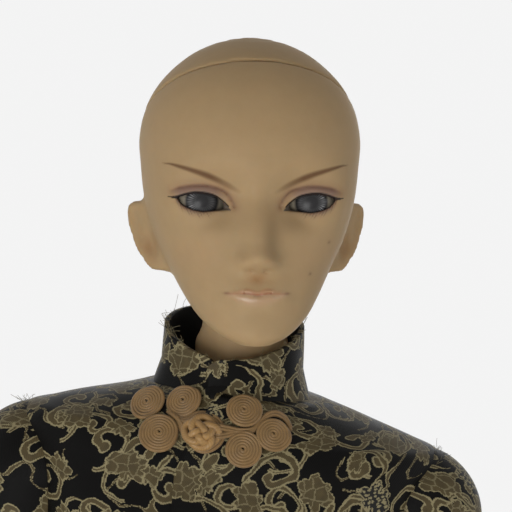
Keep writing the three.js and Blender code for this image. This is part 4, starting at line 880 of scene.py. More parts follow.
def chest_field(x, y, z):
    """Chest and neck, with the neck's ball and the sockets of the arms."""
    ax = np.abs(x)
    body = soft_min(loft(CHEST_ROWS, x, y, z), ball(x, y, z, (0, TOP_Y, NECK_Z), NECK_BALL), 1.2)
    muscle = cone(ax, y, z, (11, 0, NECK_Z - 12), (3, -13, NECK_Z - 38), 2.6, 2.2)
    body = soft_min(body, muscle, 5)
    body = soft_max(body, -ball(x, y, z, (0, 0, CHEST_Z), CHEST_BALL + ROOM), 0.8)
    arm = swept(ax, y, z, (SHOULDER_X, TOP_Y, SHOULDER_Z), SHOULDER_BALL + ROOM, ARM_SWEEPS)
    body = np.maximum(body, -arm)
    return np.maximum(body, -bore(x, y, (0, TOP_Y), NECK_BORE))


def abdomen_field(x, y, z):
    """Abdomen with the balls of the waist and the chest."""
    body = soft_min(loft(ABDOMEN_ROWS, x, y, z), ball(x, y, z, (0, 0, WAIST_Z), WAIST_BALL), 1.5)
    body = soft_min(body, ball(x, y, z, (0, 0, CHEST_Z), CHEST_BALL), 1.5)
    return np.maximum(body, -bore(x, y, (0, 0), CORD_BORE))


def pelvis_field(x, y, z):
    """Pelvis with the sockets of the waist and the legs."""
    ax = np.abs(x)
    body = loft(PELVIS_ROWS, x, y, z)
    cleft = np.exp(-((x / 2.2) ** 2)) * step_over(y, 8, 22) * step_over(HIP_Z + 22 - z, 0, 20)
    body = body + 2.2 * cleft
    body = soft_max(body, -ball(x, y, z, (0, 0, WAIST_Z), WAIST_BALL + ROOM), 1.2)
    body = soft_max(body, -swept(ax, y, z, (HIP_X, 0, HIP_Z), HIP_SWEEP + ROOM, LEG_SWEEPS), 1.0)
    return np.maximum(body, -ball(ax, y, z, (HIP_X, 0, HIP_Z), HIP_BALL + ROOM))


def thigh_field(x, y, z):
    """Thigh with the hip's ball and the socket of the knee."""
    leg = loft(THIGH_ROWS, x, y, z)
    leg = soft_max(leg, (KNEE_TOP + 5 - z) * 0.9 - y * 0.36, 1.2)
    leg = soft_min(leg, ball(x, y, z, (0, 0, HIP_Z), HIP_BALL), 1.0)
    return soft_max(leg, -ball(x, y, z, (0, 0, KNEE_TOP), KNEE_BALL + ROOM), 0.8)


def knee_field(x, y, z):
    """Knee piece with a ball at either end."""
    knee = loft(KNEE_ROWS, x, y, z)
    for end in (KNEE_LOW, KNEE_TOP):
        knee = soft_min(knee, ball(x, y, z, (0, 0, end), KNEE_BALL), 1.5)
    return np.maximum(knee, -bore(x, y, (0, 0), CORD_BORE))


def shin_field(x, y, z):
    """Shin with the sockets of the knee and the ankle."""
    leg = loft(SHIN_ROWS, x, y, z)
    leg = soft_max(leg, (z - KNEE_LOW + 5) * 0.9 - y * 0.36, 1.2)
    bone = cone(x, y, z, (0.5, -12.6, ANKLE_Z + 118), (0.5, -9.2, ANKLE_Z + 30), 2.6, 1.6)
    leg = soft_min(leg, bone, 4)
    leg = soft_max(leg, -ball(x, y, z, (0, 0, KNEE_LOW), KNEE_BALL + ROOM), 0.8)
    return soft_max(leg, -ball(x, y, z, (0, 0, ANKLE_Z), ANKLE_BALL + ROOM), 0.6)


def foot_field(x, y, z):
    """Left foot, with its big toe towards -X."""
    along = np.swapaxes(HEEL - y, 1, 2)
    flat = loft(FOOT_ROWS, x, np.swapaxes(z, 1, 2), along)
    foot = np.swapaxes(flat, 1, 2)
    foot = soft_max(foot, -ellipsoid(x, y, z, (-15.5, HEEL - 36, -2.5), (9, 17, 7)), 3)
    neck = cone(x, y, z, (0, 2, 14), (0, 0, ANKLE_Z - 4), 11.5, 8.0)
    foot = soft_min(foot, neck, 7)
    toes = None
    for tx, reach, r in TOES:
        tip = HEEL - reach
        root, bend, end = (tx * 0.9, tip + 22, r + 1.5), (tx, tip + 10, r + 0.9), (tx, tip + r, r - 0.1)
        toe = cone(x, y, z, root, bend, r * 0.92, r * 0.96)
        toe = soft_min(toe, cone(x, y, z, bend, end, r * 0.94, r), 1.2)
        nail = ellipsoid(x, y, z, (tx, tip + r * 0.75, 2 * r - 1.0), (r * 0.6, r * 0.72, 0.75))
        toe = soft_min(toe, nail, 0.25)
        toes = toe if toes is None else soft_min(toes, toe, 0.5)
    foot = soft_min(foot, toes, 2.2)
    foot = soft_max(foot, -z, 1.4)
    foot = soft_min(foot, ball(x, y, z, (0, 0, ANKLE_Z), ANKLE_BALL), 0.5)
    return np.maximum(foot, -np.maximum(bore(x, y, (0, 0), 4), ANKLE_Z - 4 - z))


def upper_arm_field(x, y, z):
    """Upper arm with the shoulder's ball and the socket of the elbow."""
    arm = loft(UPPER_ARM_ROWS, x, y, z)
    arm = soft_max(arm, (ELBOW_DROP + 3.5 - z) * 0.76 + y * 0.65, 0.8)
    arm = soft_min(arm, ball(x, y, z, (0, 0, 0), SHOULDER_BALL), 1.0)
    return soft_max(arm, -ball(x, y, z, (0, 0, ELBOW_DROP), ELBOW_BALL + ROOM), 0.5)


def forearm_field(x, y, z):
    """Forearm with the elbow's ball and the socket of the wrist."""
    arm = soft_min(loft(FOREARM_ROWS, x, y, z), ball(x, y, z, (0, 0, ELBOW_DROP), ELBOW_BALL), 1.5)
    return soft_max(arm, -ball(x, y, z, (0, 0, WRIST_DROP), WRIST_BALL + ROOM), 0.5)


PALM_ROWS = [
    (-34, 0, 4.2, 12.5, 12.5, 2.6), (-26, 0, 5.2, 12.5, 12.5, 2.6), (-17, 0, 5.2, 11, 11, 2.4),
    (-8, 0, 4.5, 7.4, 7.4, 2), (-2, 0, 4.4, 5, 5, 2),
]


def hand_field(x, y, z):
    """Left hand hanging from its wrist ball, palm towards -X and thumb forward."""
    z = z - WRIST_DROP
    palm = loft(PALM_ROWS, x, y, z)
    palm = soft_max(palm, -ellipsoid(x, y, z, (-7.6, 1, -22), (3.6, 8, 9)), 2.5)
    hand = soft_min(palm, ball(x, y, z, (0, 0, 0), WRIST_BALL), 1.0)
    fingers = None
    for k, length in enumerate(FINGERS):
        fy = (k - 1.5) * 6.25
        wide = 1 + 0.02 * length
        knuckle, bend = (0.8, fy, -29), (-1, fy * wide * 0.93, -34 - length * 0.42)
        tip = (-4, fy * wide, -34 - length * 0.9)
        finger = soft_min(cone(x, y, z, knuckle, bend, 3.3, 3.1), cone(x, y, z, bend, tip, 3.05, 2.45), 0.7)
        finger = soft_min(finger, ball(x, y, z, np.add(bend, (0.4, 0, 0)), 3.05), 0.8)
        nail = ellipsoid(x, y, z, np.add(tip, (1.75, 0, 0.4)), (0.75, 1.55, 2.4))
        finger = soft_min(finger, nail, 0.2)
        hand = soft_min(hand, ball(x, y, z, (2.2, fy, -32), 3.2), 1.6)
        fingers = finger if fingers is None else soft_min(fingers, finger, 0.35)
    hand = soft_min(hand, fingers, 1.5)
    root, bend, tip = (-2, -5, -8), (-4, -14.5, -20), (-5.5, -18.5, -33)
    thumb = soft_min(cone(x, y, z, root, bend, 4.6, 4.0), cone(x, y, z, bend, tip, 3.7, 2.8), 0.9)
    thumb = soft_min(thumb, ellipsoid(x, y, z, (-4.9, -20.6, -32.4), (1.7, 0.8, 2.6)), 0.2)
    hand = soft_min(hand, thumb, 3)
    return np.maximum(hand, -np.maximum(bore(x, y, (0, 0), 3), -3 - z))


def leaned(points):
    """Directions beside a straight arm turned to the way the doll's left arm hangs."""
    x, y, z = points.T
    c, s = math.cos(ARM_LEAN), math.sin(ARM_LEAN)
    return np.stack([x * c - z * s, y, x * s + z * c], 1)


def arm_to_doll(points):
    """Points beside a straight arm brought to the doll's left arm."""
    return leaned(points) + (SHOULDER_X, TOP_Y, SHOULDER_Z)


def leg_to_doll(points):
    """Points beside a straight leg brought to the doll's left leg."""
    return points + (HIP_X, 0, 0)


# Piece, body and node, field, low and high corner, grid step, way to the doll's left side
CASTINGS = (
    ("chest", chest_field, (-53, -38, CHEST_Z + 4), (53, 36, NECK_Z + 15), 1.15, None),
    ("abdomen", abdomen_field, (-33, -29, WAIST_Z - 28), (33, 29, CHEST_Z + 29), 1.4, None),
    ("pelvis", pelvis_field, (-54, -34, HIP_Z - 28), (54, 39, WAIST_Z - 6), 1.2, None),
    ("thigh", thigh_field, (-28, -28, KNEE_TOP - 3), (28, 28, HIP_Z + 27), 1.15, leg_to_doll),
    ("knee_joint", knee_field, (-16, -17, KNEE_LOW - 16), (16, 17, KNEE_TOP + 16), 0.9, leg_to_doll),
    ("shin", shin_field, (-20, -20, ANKLE_Z), (20, 22, KNEE_LOW + 4), 1.0, leg_to_doll),
    ("foot", foot_field, (-20, HEEL - 91, -1), (20, HEEL + 2, ANKLE_Z + 11), 0.62, leg_to_doll),
    ("upper_arm", upper_arm_field, (-15, -15, ELBOW_DROP - 10), (15, 15, 15), 1.0, arm_to_doll),
    ("forearm", forearm_field, (-13, -13, WRIST_DROP - 1), (13, 13, ELBOW_DROP + 11), 0.8, arm_to_doll),
    ("hand", hand_field, (-9, -24, WRIST_DROP - 66), (9, 16, WRIST_DROP + 8), 0.5, arm_to_doll),
)


class DOLL_OT_castings(bpy.types.Operator):
    """Cast the pieces of the body that are strung together"""
    bl_idname = "doll.castings"
    bl_label = "Body castings"

    def execute(self, context):
        material = resin_material("Resin")
        for name, field, low, high, step, way in CASTINGS:
            axes = [axis_grid(a - 1, b + 1, step) for a, b in zip(low, high)]
            points, faces = skin_of(field(*open_grid(*axes)), *axes)
            points = evened(points, faces)
            for side, sign in (SIDES if way else (("", 1),)):
                placed = (way(points) if way else points) * (sign, 1, 1) + (0, MIDDLE_Y, 0)
                node_name = f"{name}_{side}" if side else name
                obj = mesh_object(f"{node_name}_cast", placed, faces[:, ::sign], material)
                place(obj, node_name, node_name, slot="resin")
        return {"FINISHED"}


FULL_TURN = 6.283


def flat_noise(tree, vector, scale, detail=0.0, output=0):
    """Noise on the flat cloth."""
    settings = {"noise_dimensions": "2D"}
    made = node(tree, "ShaderNodeTexNoise", settings, Vector=vector, Scale=scale, Detail=detail)
    return made.outputs[output]


def flat_cells(tree, vector, scale, randomness, feature="F1"):
    """Scattered cells on the flat cloth."""
    settings = {"voronoi_dimensions": "2D", "feature": feature}
    made = node(tree, "ShaderNodeTexVoronoi", settings, Vector=vector, Scale=scale, Randomness=randomness)
    return made.outputs


def vector_step(tree, operation, **inputs):
    """One step of arithmetic with vectors."""
    return node(tree, "ShaderNodeVectorMath", {"operation": operation}, **inputs).outputs[0]


def bands(tree, vector, way, scale, distortion):
    """Uneven stripes."""
    settings = {"bands_direction": way}
    inputs = {"Vector": vector, "Scale": scale, "Distortion": distortion, "Detail": 1.0}
    return Number(node(tree, "ShaderNodeTexWave", settings, **inputs).outputs["Fac"])


def motif_layer(tree, vector, size, seed, randomness):
    """Cells of a scattered pattern: distance and turn from each cell's own middle, and two random shares."""
    start, scale = (seed, seed * 1.7, 0), (1 / size,) * 3
    scaled = node(tree, "ShaderNodeMapping", Vector=vector, Location=start, Scale=scale).outputs[0]
    cells = flat_cells(tree, scaled, 1.0, randomness)
    away = vector_step(tree, "SUBTRACT", i0=scaled, i1=cells["Position"])
    across, up, _ = map(Number, node(tree, "ShaderNodeSeparateXYZ", Vector=away).outputs)
    spin, kind, other = map(Number, node(tree, "ShaderNodeSeparateColor", Color=cells["Color"]).outputs)
    turn = maths("ARCTAN2", up * maths("SIGN", other - 0.5), across)
    return Number(cells["Distance"]), turn + spin * FULL_TURN, kind, other


def flower_layer(tree, vector, size, seed, reach, rate):
    """Lobed flowers: their body, their pale outline and petals, and the random share of each."""
    far, turn, kind, other = motif_layer(tree, vector, size, seed, 0.45)
    edge = far
    for half_lobes, phase, depth in ((3, 0.4, 0.085), (8, 1.1, 0.03)):
        edge = edge - maths("ABSOLUTE", maths("SINE", turn * half_lobes + phase)) * depth
    edge = edge - maths("SINE", turn * 2 + 1.9) * 0.05
    body = (edge < reach) * (kind > rate)
    petals = Number(flat_cells(tree, vector, 0.31, 0.85, "DISTANCE_TO_EDGE")["Distance"])
    return body, body * (edge > reach - 0.5 / size), (petals < 0.06) * body, other


def scroll_layer(tree, vector, size, seed, rate):
    """Hooked scrolls: a stroke that winds out from a round end and thins to its tail."""
    far, turn, kind, _ = motif_layer(tree, vector, size, seed, 0.55)
    share = maths("FRACT", maths("DIVIDE", turn, FULL_TURN))
    stroke = maths("ABSOLUTE", far - (share * 0.33 + 0.09)) - (share * -0.045 + 0.085)
    bulb_square = far * far + 0.0081 - far * 0.18 * maths("COSINE", turn)
    bulb = maths("SQRT", maths("MAXIMUM", bulb_square, 0.0)) - 0.105
    edge = maths("MINIMUM", stroke, bulb)
    body = (edge < 0.0) * (kind > rate)
    return body, body * (edge > -0.5 / size)


def stem_layer(tree, vector, scale, seed, half):
    """Winding stems that link the figures."""
    moved = node(tree, "ShaderNodeMapping", Vector=vector, Location=(seed, -seed, 0)).outputs[0]
    gap = maths("ABSOLUTE", Number(flat_noise(tree, moved, scale, 0.6)) - 0.5)
    where = Number(flat_noise(tree, moved, scale * 0.8))
    body = (gap < half) * (where > 0.46)
    return body, body * (gap > half * 0.6)


def shade_of(colour, level=1.0):
    """Linear colour from a setting, lighter or darker."""
    return linear(np.clip(np.array(colour) * 255 * level, 0, 255))


def brocade_material():
    """Black satin woven with flowers, scrolls and stems in dull gold, edged with a pale thread."""
    style = bpy.context.scene.doll_jacket
    material, tree, shader = new_material("Brocade")
    uv = node(tree, "ShaderNodeUVMap", {"uv_map": "Pattern"}).outputs[0]
    flat = vector_step(tree, "SCALE", i0=uv, Scale=1 / MM)
    bent = threads = vector_step(tree, "SNAP", i0=flat, i1=(0.3, 0.24, 1.0))
    for scale, push in ((0.16, 2.2), (0.45, 0.6)):
        noise = flat_noise(tree, threads, scale, output="Color")
        bent = vector_step(tree, "MULTIPLY_ADD", i0=noise, i1=(push, push, 0), i2=bent)
    fill, line, fine, other = flower_layer(tree, bent, 19, 3.1, 0.205, 0.1)
    flecked_ones = fill * (other > 0.84)
    layers = [
        flower_layer(tree, bent, 15, 23.7, 0.165, 0.5)[:3], scroll_layer(tree, bent, 19, 11.7, 0.2),
        scroll_layer(tree, bent, 15, 57.3, 0.5), stem_layer(tree, bent, 0.085, 7.7, 0.021),
    ]
    for body, rim, *petals in layers:
        clear = 1.0 - fill
        line = maths("MAXIMUM", line, rim * clear)
        for petal in petals:
            fine = maths("MAXIMUM", fine, petal * clear)
        fill = maths("MAXIMUM", fill, body)
    # A few figures are flecked instead of filled
    fleck = Number(flat_cells(tree, bent, 0.85, 1.0)["Distance"]) < 0.36
    weft, twill = bands(tree, flat, "Y", 1.4, 0.4), bands(tree, flat, "DIAGONAL", 1.0, 0.8)
    tone = flat_noise(tree, flat, 0.45, 4.0)
    ground = blend_colour(tree, weft, shade_of(style.ground, 0.75), shade_of(style.ground, 1.25))
    gold = blend_colour(tree, tone, shade_of(style.figure, 0.75), shade_of(style.figure, 1.2))
    gold = blend_colour(tree, twill * 0.4, gold, shade_of(style.figure, 0.55))
    gold = blend_colour(tree, fine * 0.85, gold, shade_of(style.edge, 0.85))
    flecked = blend_colour(tree, fleck, shade_of(style.ground, 1.2), shade_of(style.edge))
    gold = blend_colour(tree, flecked_ones, gold, flecked)
    colour = blend_colour(tree, fill, ground, gold)
    height = maths("MAXIMUM", fill, line) * 0.7 + twill * 0.3
    feed(tree, shader, Base_Color=blend_colour(tree, line, colour, shade_of(style.edge)),
         Roughness=fill * 0.14 + 0.44, Specular_IOR_Level=fill * 0.14 + 0.06,
         Normal=raised(tree, height, 0.5, 0.0003))
    return material


# Jacket, in the doll's frame with its middle at y = 0
HEM_Z = HIP_Z + 30
COLLAR_Z = NECK_Z - 28
CLOTH, COLLAR_CLOTH = 1.1, 1.4
JACKET_ROWS = [
    (HEM_Z, 0, 62, 43, 43, 2.4), (HEM_Z + 26, 0, 57, 39, 39, 2.4), (WAIST_Z + 18, 0, 52, 36, 36, 2.4),
    (CHEST_Z + 20, 0, 51, 38, 36, 2.4), (SHOULDER_Z - 26, 0, 51.5, 41, 38, 2.4),
    (SHOULDER_Z - 8, 1, 54, 40, 37, 2.4), (SHOULDER_Z + 8, 2, 60, 34.5, 34.5, 2.3),
    (SHOULDER_Z + 16, 2, 64, 31.8, 31.8, 2.1), (SHOULDER_Z + 20, 2, 62, 30.2, 30.4, 2.0),
    (SHOULDER_Z + 22.3, 2, 55.5, 29.2, 29.5, 1.9), (SHOULDER_Z + 27, 2, 41, 27, 27.5, 1.75),
    (SHOULDER_Z + 30, 2, 31, 25.6, 26, 1.75), (SHOULDER_Z + 31.5, 2, 25.6, 24.6, 25, 1.85),
    (SHOULDER_Z + 32, 2, 20.5, 20.5, 20.5, 2),
]
FRONT_EDGE = [
    (HEM_Z, -10), (SHOULDER_Z - 20, -11), (SHOULDER_Z + 11, -11.5), (SHOULDER_Z + 24, -7),
    (SHOULDER_Z + 32, -4.5),
]
ARMHOLE = 19.9
SLEEVE_HEAD = 20.5
SLEEVE_ROWS = [
    (0, SLEEVE_HEAD), (14, 19.4), (40, 16.9), (80, 16), (104, 16.4), (140, 15.2), (176, 14.9),
    (189, 15.5),
]
SPLIT_Z = WAIST_Z + 17
EDGES = {}
COLLAR_FLARE = ((0, 0.12, 0.5, 1), (26.0, 23.8, 21.2, 20.9))
CORNER = 4.5
# Rows and columns of points in the cloth
BODY_GRID, SLEEVE_GRID, COLLAR_GRID, SLEEVE_HEAD_ROWS = (190, 331), (150, 97), (48, 251), 30
# Rows of points that the stitches follow
HEM_ROW, CUFF_ROW, COLLAR_ROW = 6, -5, 6
# How deep in the cloth the loose threads begin
FRAY_DEPTH = 0.5
# Lap of the fronts: how far it stands out, the columns that may take part, the radius that sets its angle
LAP_RISE, LAP_COLUMNS, LAP_RADIUS = 1.5, 100, 50
# Lap of the collar's ends: how far it stands out, its angle, and the turn of the collar as a whole
COLLAR_LAP_RISE, COLLAR_LAP, COLLAR_TURN = 1.7, 0.13, 0.16
# Folds of the skirt: depth, count and shift of each wave; the height where they begin; how far they grow
FOLDS, FOLDS_Z, FOLDS_GROW = ((0.034, 8, 0.4), (0.016, 18, 0.5)), WAIST_Z + 20, 48


def oval(rows, t, turn):
    """Points of a lofted sheet: one row for each t and one column for each turn about the middle."""
    z, middle, width, front, back, square = through(rows, t).T[:, :, None]
    c, s = np.cos(turn), np.sin(turn)
    reach = np.where(s < 0, front, back)
    size = (np.abs(c) ** square + np.abs(s) ** square) ** (-1 / square)
    return np.stack([width * c * size, middle + reach * s * size, z + 0 * c * size], 2)


def grid_faces(rows, columns, closed):
    """Quads of a grid of points, row by row."""
    last = columns if closed else columns - 1
    r, c = np.meshgrid(np.arange(rows - 1) * columns, np.arange(last), indexing="ij")
    n = (c + 1) % columns
    return np.stack([r + c, r + n, r + columns + n, r + columns + c], 2).reshape(-1, 4)


def along_sheet(grid, axis):
    """Length along a sheet at each of its points, in one of its two directions."""
    steps = np.linalg.norm(np.diff(grid, axis=axis), axis=2)
    return np.cumsum(np.pad(steps, [(1, 0) if n == axis else (0, 0) for n in range(2)]), axis)


def cloth_uv(grid):
    """Width and length along a sheet at each of its points, in metres."""
    across = along_sheet(grid, 1)
    half = across.shape[1] // 2
    from_front = np.where(np.arange(across.shape[1])[None] <= half, across, across - across[:, -1:])
    return np.stack([from_front, along_sheet(grid, 0)], 2) * MM


def crumpled(grid, depth, seed, stretch=(1.0, 1.0)):
    """Soft uneven folds pushed out of a sheet along its normal."""
    du, dv = np.gradient(grid, axis=1), np.gradient(grid, axis=0)
    normal = np.cross(du, dv)
    normal /= np.maximum(np.linalg.norm(normal, axis=2, keepdims=True), 1e-9)
    x, y, z = grid[..., 0], grid[..., 1], grid[..., 2]
    rng = np.random.default_rng(seed)
    wave = np.zeros(grid.shape[:2])
    for _ in range(9):
        way = rng.normal(size=3) * (0.11 * stretch[0], 0.11 * stretch[0], 0.075 * stretch[1])
        wave += np.sin(x * way[0] + y * way[1] + z * way[2] + rng.uniform(0, 6.3)) * rng.uniform(0.4, 1)
    return grid + normal * (wave / 4 * depth)[..., None], normal


def plain_material(name, scale, detail, dark, light, roughness, relief=None):
    """Material with one uneven colour, and its lumps if it has any."""
    material, tree, shader = new_material(name)
    noise = object_noise(tree, scale, detail)
    feed(tree, shader, Base_Color=blend_colour(tree, noise, dark, light), Roughness=roughness)
    if relief:
        feed(tree, shader, Normal=raised(tree, noise, *relief))
    return material


def lining_material():
    """Plain black lining on the inner side of the cloth."""
    if "Lining" in bpy.data.materials:
        return bpy.data.materials["Lining"]
    ground = bpy.context.scene.doll_jacket.ground
    return plain_material("Lining", 900, 3.0, shade_of(ground, 0.6), shade_of(ground, 1.2), 0.6)


def sheet_object(name, grid, normal, material, uv, closed=False, armholes=False, thick=CLOTH):
    """Cloth of real thickness from a grid of points and its flat pattern, cut at armholes if asked."""
    faces = grid_faces(*grid.shape[:2], closed)
    flat = grid.reshape(-1, 3)
    if armholes:
        faces = faces[from_shoulder(flat[faces].mean(1)) > ARMHOLE]
    used = np.unique(faces)
    index = np.full(len(flat), -1)
    index[used] = np.arange(len(used))
    outer, back = flat[used], (flat - normal.reshape(-1, 3) * thick)[used]
    faces = index[faces]
    n = len(used)
    pairs = np.concatenate([faces[:, [k, (k + 1) % 4]] for k in range(4)])
    key = pairs[:, 0] * n + pairs[:, 1]
    rim = pairs[~np.isin(key, pairs[:, 1] * n + pairs[:, 0])]
    walls = np.stack([rim[:, 1], rim[:, 0], rim[:, 0] + n, rim[:, 1] + n], 1)
    everything = np.concatenate([faces, faces[:, ::-1] + n, walls])
    obj = mesh_object(name, np.concatenate([outer, back]) + (0, MIDDLE_Y, 0), everything, material)
    obj.data.materials.append(lining_material())
    inner = np.zeros(len(everything), np.int32)
    inner[len(faces):2 * len(faces)] = 1
    obj.data.polygons.foreach_set("material_index", inner)
    layer = obj.data.uv_layers.new(name="Pattern")
    both = np.concatenate([uv.reshape(-1, 2)[used]] * 2)
    loops = np.zeros(len(obj.data.loops), np.int64)
    obj.data.loops.foreach_get("vertex_index", loops)
    layer.data.foreach_set("uv", both[loops].astype(np.float32).ravel())
    return obj


def from_shoulder(points):
    """Distance of points from the shoulder ball's centre, on either side."""
    x, y, z = points.T
    return np.sqrt((np.abs(x) - SHOULDER_X) ** 2 + (y - TOP_Y) ** 2 + (z - SHOULDER_Z) ** 2)


def on_axis(z):
    """Place in metres on the doll's upright axis."""
    return (0, MIDDLE_Y * MM, z * MM)


class DOLL_OT_jacket(bpy.types.Operator):
    """Sew the jacket: body, sleeves and stand collar in brocade"""
    bl_idname = "doll.jacket"
    bl_label = "Jacket"

    def execute(self, context):
        material = brocade_material()
        self.body(material)
        self.sleeves(material)
        self.collar(material)
        return {"FINISHED"}

    def body(self, material):
        """Fronts and back with the folds of the skirt, cut in two where the doll bends."""
        lap = bpy.context.scene.doll_jacket.lap / MM
        turn = np.linspace(-math.pi / 2 - lap / LAP_RADIUS, 1.5 * math.pi, BODY_GRID[1])
        levels = np.linspace(0, 1, BODY_GRID[0])
        rows = through(JACKET_ROWS, levels)
        edge = np.interp(rows[:, 0], *np.array(FRONT_EDGE, float).T)
        grid = oval(JACKET_ROWS, levels, turn[None] + np.arcsin(edge / rows[:, 2])[:, None])
        # Folds that fall from the waist to the hem
        low = step_over(FOLDS_Z - grid[..., 2], 0, FOLDS_GROW)
        swing = 1
        for depth, count, shift in FOLDS:
            swing = swing + depth * low * np.sin(turn * count - shift)[None]
        grid[..., :2] *= swing[..., None]
        grid, normal = crumpled(grid, 0.55, 4)
        uv = cloth_uv(grid)
        # The left front lies over the right one
        over = LAP_RISE * (1 - step_over(uv[..., :1] / MM, 0, 14))
        grid += normal * (over * (np.arange(len(turn)) < LAP_COLUMNS)[None, :, None])
        EDGES["hem"] = grid[0] - normal[0] * FRAY_DEPTH, normal[0]
        EDGES["hem row"] = grid[HEM_ROW], normal[HEM_ROW]
        flat, out = grid.reshape(-1, 3), normal.reshape(-1, 3)
        rim = np.abs(from_shoulder(flat) - ARMHOLE - 0.5) < 0.4
        for side, sign in SIDES:
            chosen = np.flatnonzero(rim & (flat[:, 0] * sign > 0) & (flat[:, 2] > SHOULDER_Z))
            chosen = chosen[np.argsort(flat[chosen, 1])]
            EDGES[f"shoulder {side}"] = flat[chosen], out[chosen]
        split = int(np.argmin(np.abs(grid[:, 0, 2] - SPLIT_Z)))
        pieces = (
            ("jacket_body", slice(split, None), "chest", SPLIT_Z + 4, CHEST_Z + 14),
            ("jacket_skirt", slice(0, split + 1), "pelvis", SPLIT_Z - 2, HEM_Z + 14),
        )
        for name, part, body, start, end in pieces:
            obj = sheet_object(name, grid[part], normal[part], material, uv[part], armholes=True)
            on_axis(start)
            on_axis(end)
            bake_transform(obj)
            if body == "chest":
                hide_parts("jacket_back", "jacket_front_left", "jacket_front_right")

    def sleeves(self, material):
        """Sleeves with a round head in the armhole and soft folds at the elbow."""
        turn = np.linspace(0, 2 * math.pi, SLEEVE_GRID[1])
        table = through(SLEEVE_ROWS, np.linspace(0, 1, SLEEVE_GRID[0]))
        dome = np.linspace(1.56, 0.04, SLEEVE_HEAD_ROWS)
        along = np.concatenate([-SLEEVE_HEAD * np.sin(dome), table[:, 0]])[:, None]
        radius = np.concatenate([SLEEVE_HEAD * np.cos(dome), table[:, 1]])[:, None]
        grid = np.stack([radius * np.cos(turn), radius * np.sin(turn), -along + 0 * turn], 2)
        bend = np.exp(-(((along + ELBOW_DROP) / 20) ** 2))
        ripple = 1 + bend * 0.03 * np.sin(along * 0.55 + 1.5 * np.sin(turn))
        grid[..., :2] *= ripple[..., None]
        grid, normal = crumpled(grid, 0.7, 11, (1.4, 0.8))
        grid, normal = grid[:, ::-1], -normal[:, ::-1]
        for side, sign in SIDES:
            placed = (arm_to_doll(grid.reshape(-1, 3)) * (sign, 1, 1)).reshape(grid.shape)[:, ::sign]
            lean = (leaned(normal.reshape(-1, 3)) * (sign, 1, 1)).reshape(grid.shape)[:, ::sign]
            uv = cloth_uv(placed)[:, :-1]
            name = f"sleeve_{side}"
            obj = sheet_object(f"{name}_cloth", placed[:, :-1], lean[:, :-1], material, uv, closed=True)
            EDGES[f"cuff {side}"] = placed[-1] - lean[-1] * FRAY_DEPTH, lean[-1]
            EDGES[f"cuff row {side}"] = placed[CUFF_ROW], lean[CUFF_ROW]
            elbow = np.array([[0, 0, ELBOW_DROP + 12], [0, 0, ELBOW_DROP - 12]], float)
            start, end = (arm_to_doll(elbow) * (sign, 1, 1) + (0, MIDDLE_Y, 0)) * MM
            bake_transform(obj)
            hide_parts(name)

    def collar(self, material):
        """Stand collar, lower at the front, with round corners where its ends meet."""
        style = bpy.context.scene.doll_jacket
        turn = np.linspace(-math.pi / 2 - COLLAR_LAP, 1.5 * math.pi, COLLAR_GRID[1]) - COLLAR_TURN
        up = np.linspace(0, 1, COLLAR_GRID[0])
        radius = np.interp(up, *COLLAR_FLARE)
        around = radius[:, None] * np.cos(turn), TOP_Y + radius[:, None] * np.sin(turn)
        ring = np.stack([*around, 0 * around[0]], 2)
        height = style.collar / MM * (1 - 0.10 * np.maximum(-np.sin(turn), 0) ** 3) + 1.6 * np.cos(turn)
        height += np.where(ring[-1, :, 1] < 0, 0.3, 0.17) * ring[-1, :, 1]
        to_end = np.minimum(turn - turn[0], turn[-1] - turn) * radius[-1]
        height -= CORNER * (1 - np.sqrt(1 - np.clip(1 - to_end / CORNER, 0, 1) ** 2))
        ring[..., 2] = COLLAR_Z - 0.6 + up[:, None] * (height + 1.6)
        ring[..., 0] -= collar_shift(up)[:, None]
        grid, normal = crumpled(ring, 0.5, 7, (2.0, 2.0))
        over = step_over(up, 0, 0.3)[:, None] * COLLAR_LAP_RISE * (1 - step_over(turn - turn[0], 0, 0.5))
        grid += normal * over[..., None]
        obj = sheet_object("collar_cloth", grid, normal, material, cloth_uv(grid), thick=COLLAR_CLOTH)
        place(obj, "chest", "collar", slot="brocade")
        EDGES["collar top"] = grid[-1] - normal[-1] * (COLLAR_CLOTH / 2), normal[-1]
        EDGES["collar foot"] = grid[COLLAR_ROW], normal[COLLAR_ROW]


# Node trees that follow a path
def path_tree(name, inputs):
    """Geometry node tree with named inputs: its sockets by name, and the strands that it follows."""
    tree = bpy.data.node_groups.new(name, "GeometryNodeTree")
    tree.interface.new_socket("Geometry", in_out="INPUT", socket_type="NodeSocketGeometry")
    for label, kind, value in (*inputs, ("Material", "Material", None)):
        socket = tree.interface.new_socket(label, in_out="INPUT", socket_type=f"NodeSocket{kind}")
        if value is not None:
            socket.default_value = value
    tree.interface.new_socket("Geometry", in_out="OUTPUT", socket_type="NodeSocketGeometry")
    given = {socket.name: socket for socket in tree.nodes.new("NodeGroupInput").outputs if socket.name}
    return tree, given, node(tree, "GeometryNodeMeshToCurve", Mesh=given["Geometry"]).outputs[0]


def close_tree(tree, geometry, material):
    """Ends a tree in smooth, real faces with their material."""
    real = node(tree, "GeometryNodeRealizeInstances", Geometry=geometry).outputs[0]
    smooth = node(tree, "GeometryNodeSetShadeSmooth", Geometry=real).outputs[0]
    painted = node(tree, "GeometryNodeSetMaterial", Geometry=smooth, Material=material).outputs[0]
    tree.links.new(painted, tree.nodes.new("NodeGroupOutput").inputs[0])
    return tree


def stored(tree, geometry, name, value):
    """Keeps a number on each point of a curve, for the material."""
    return node(tree, "GeometryNodeStoreNamedAttribute", {"data_type": "FLOAT", "domain": "POINT"},
                Geometry=geometry, Name=name, Value=value).outputs[0]


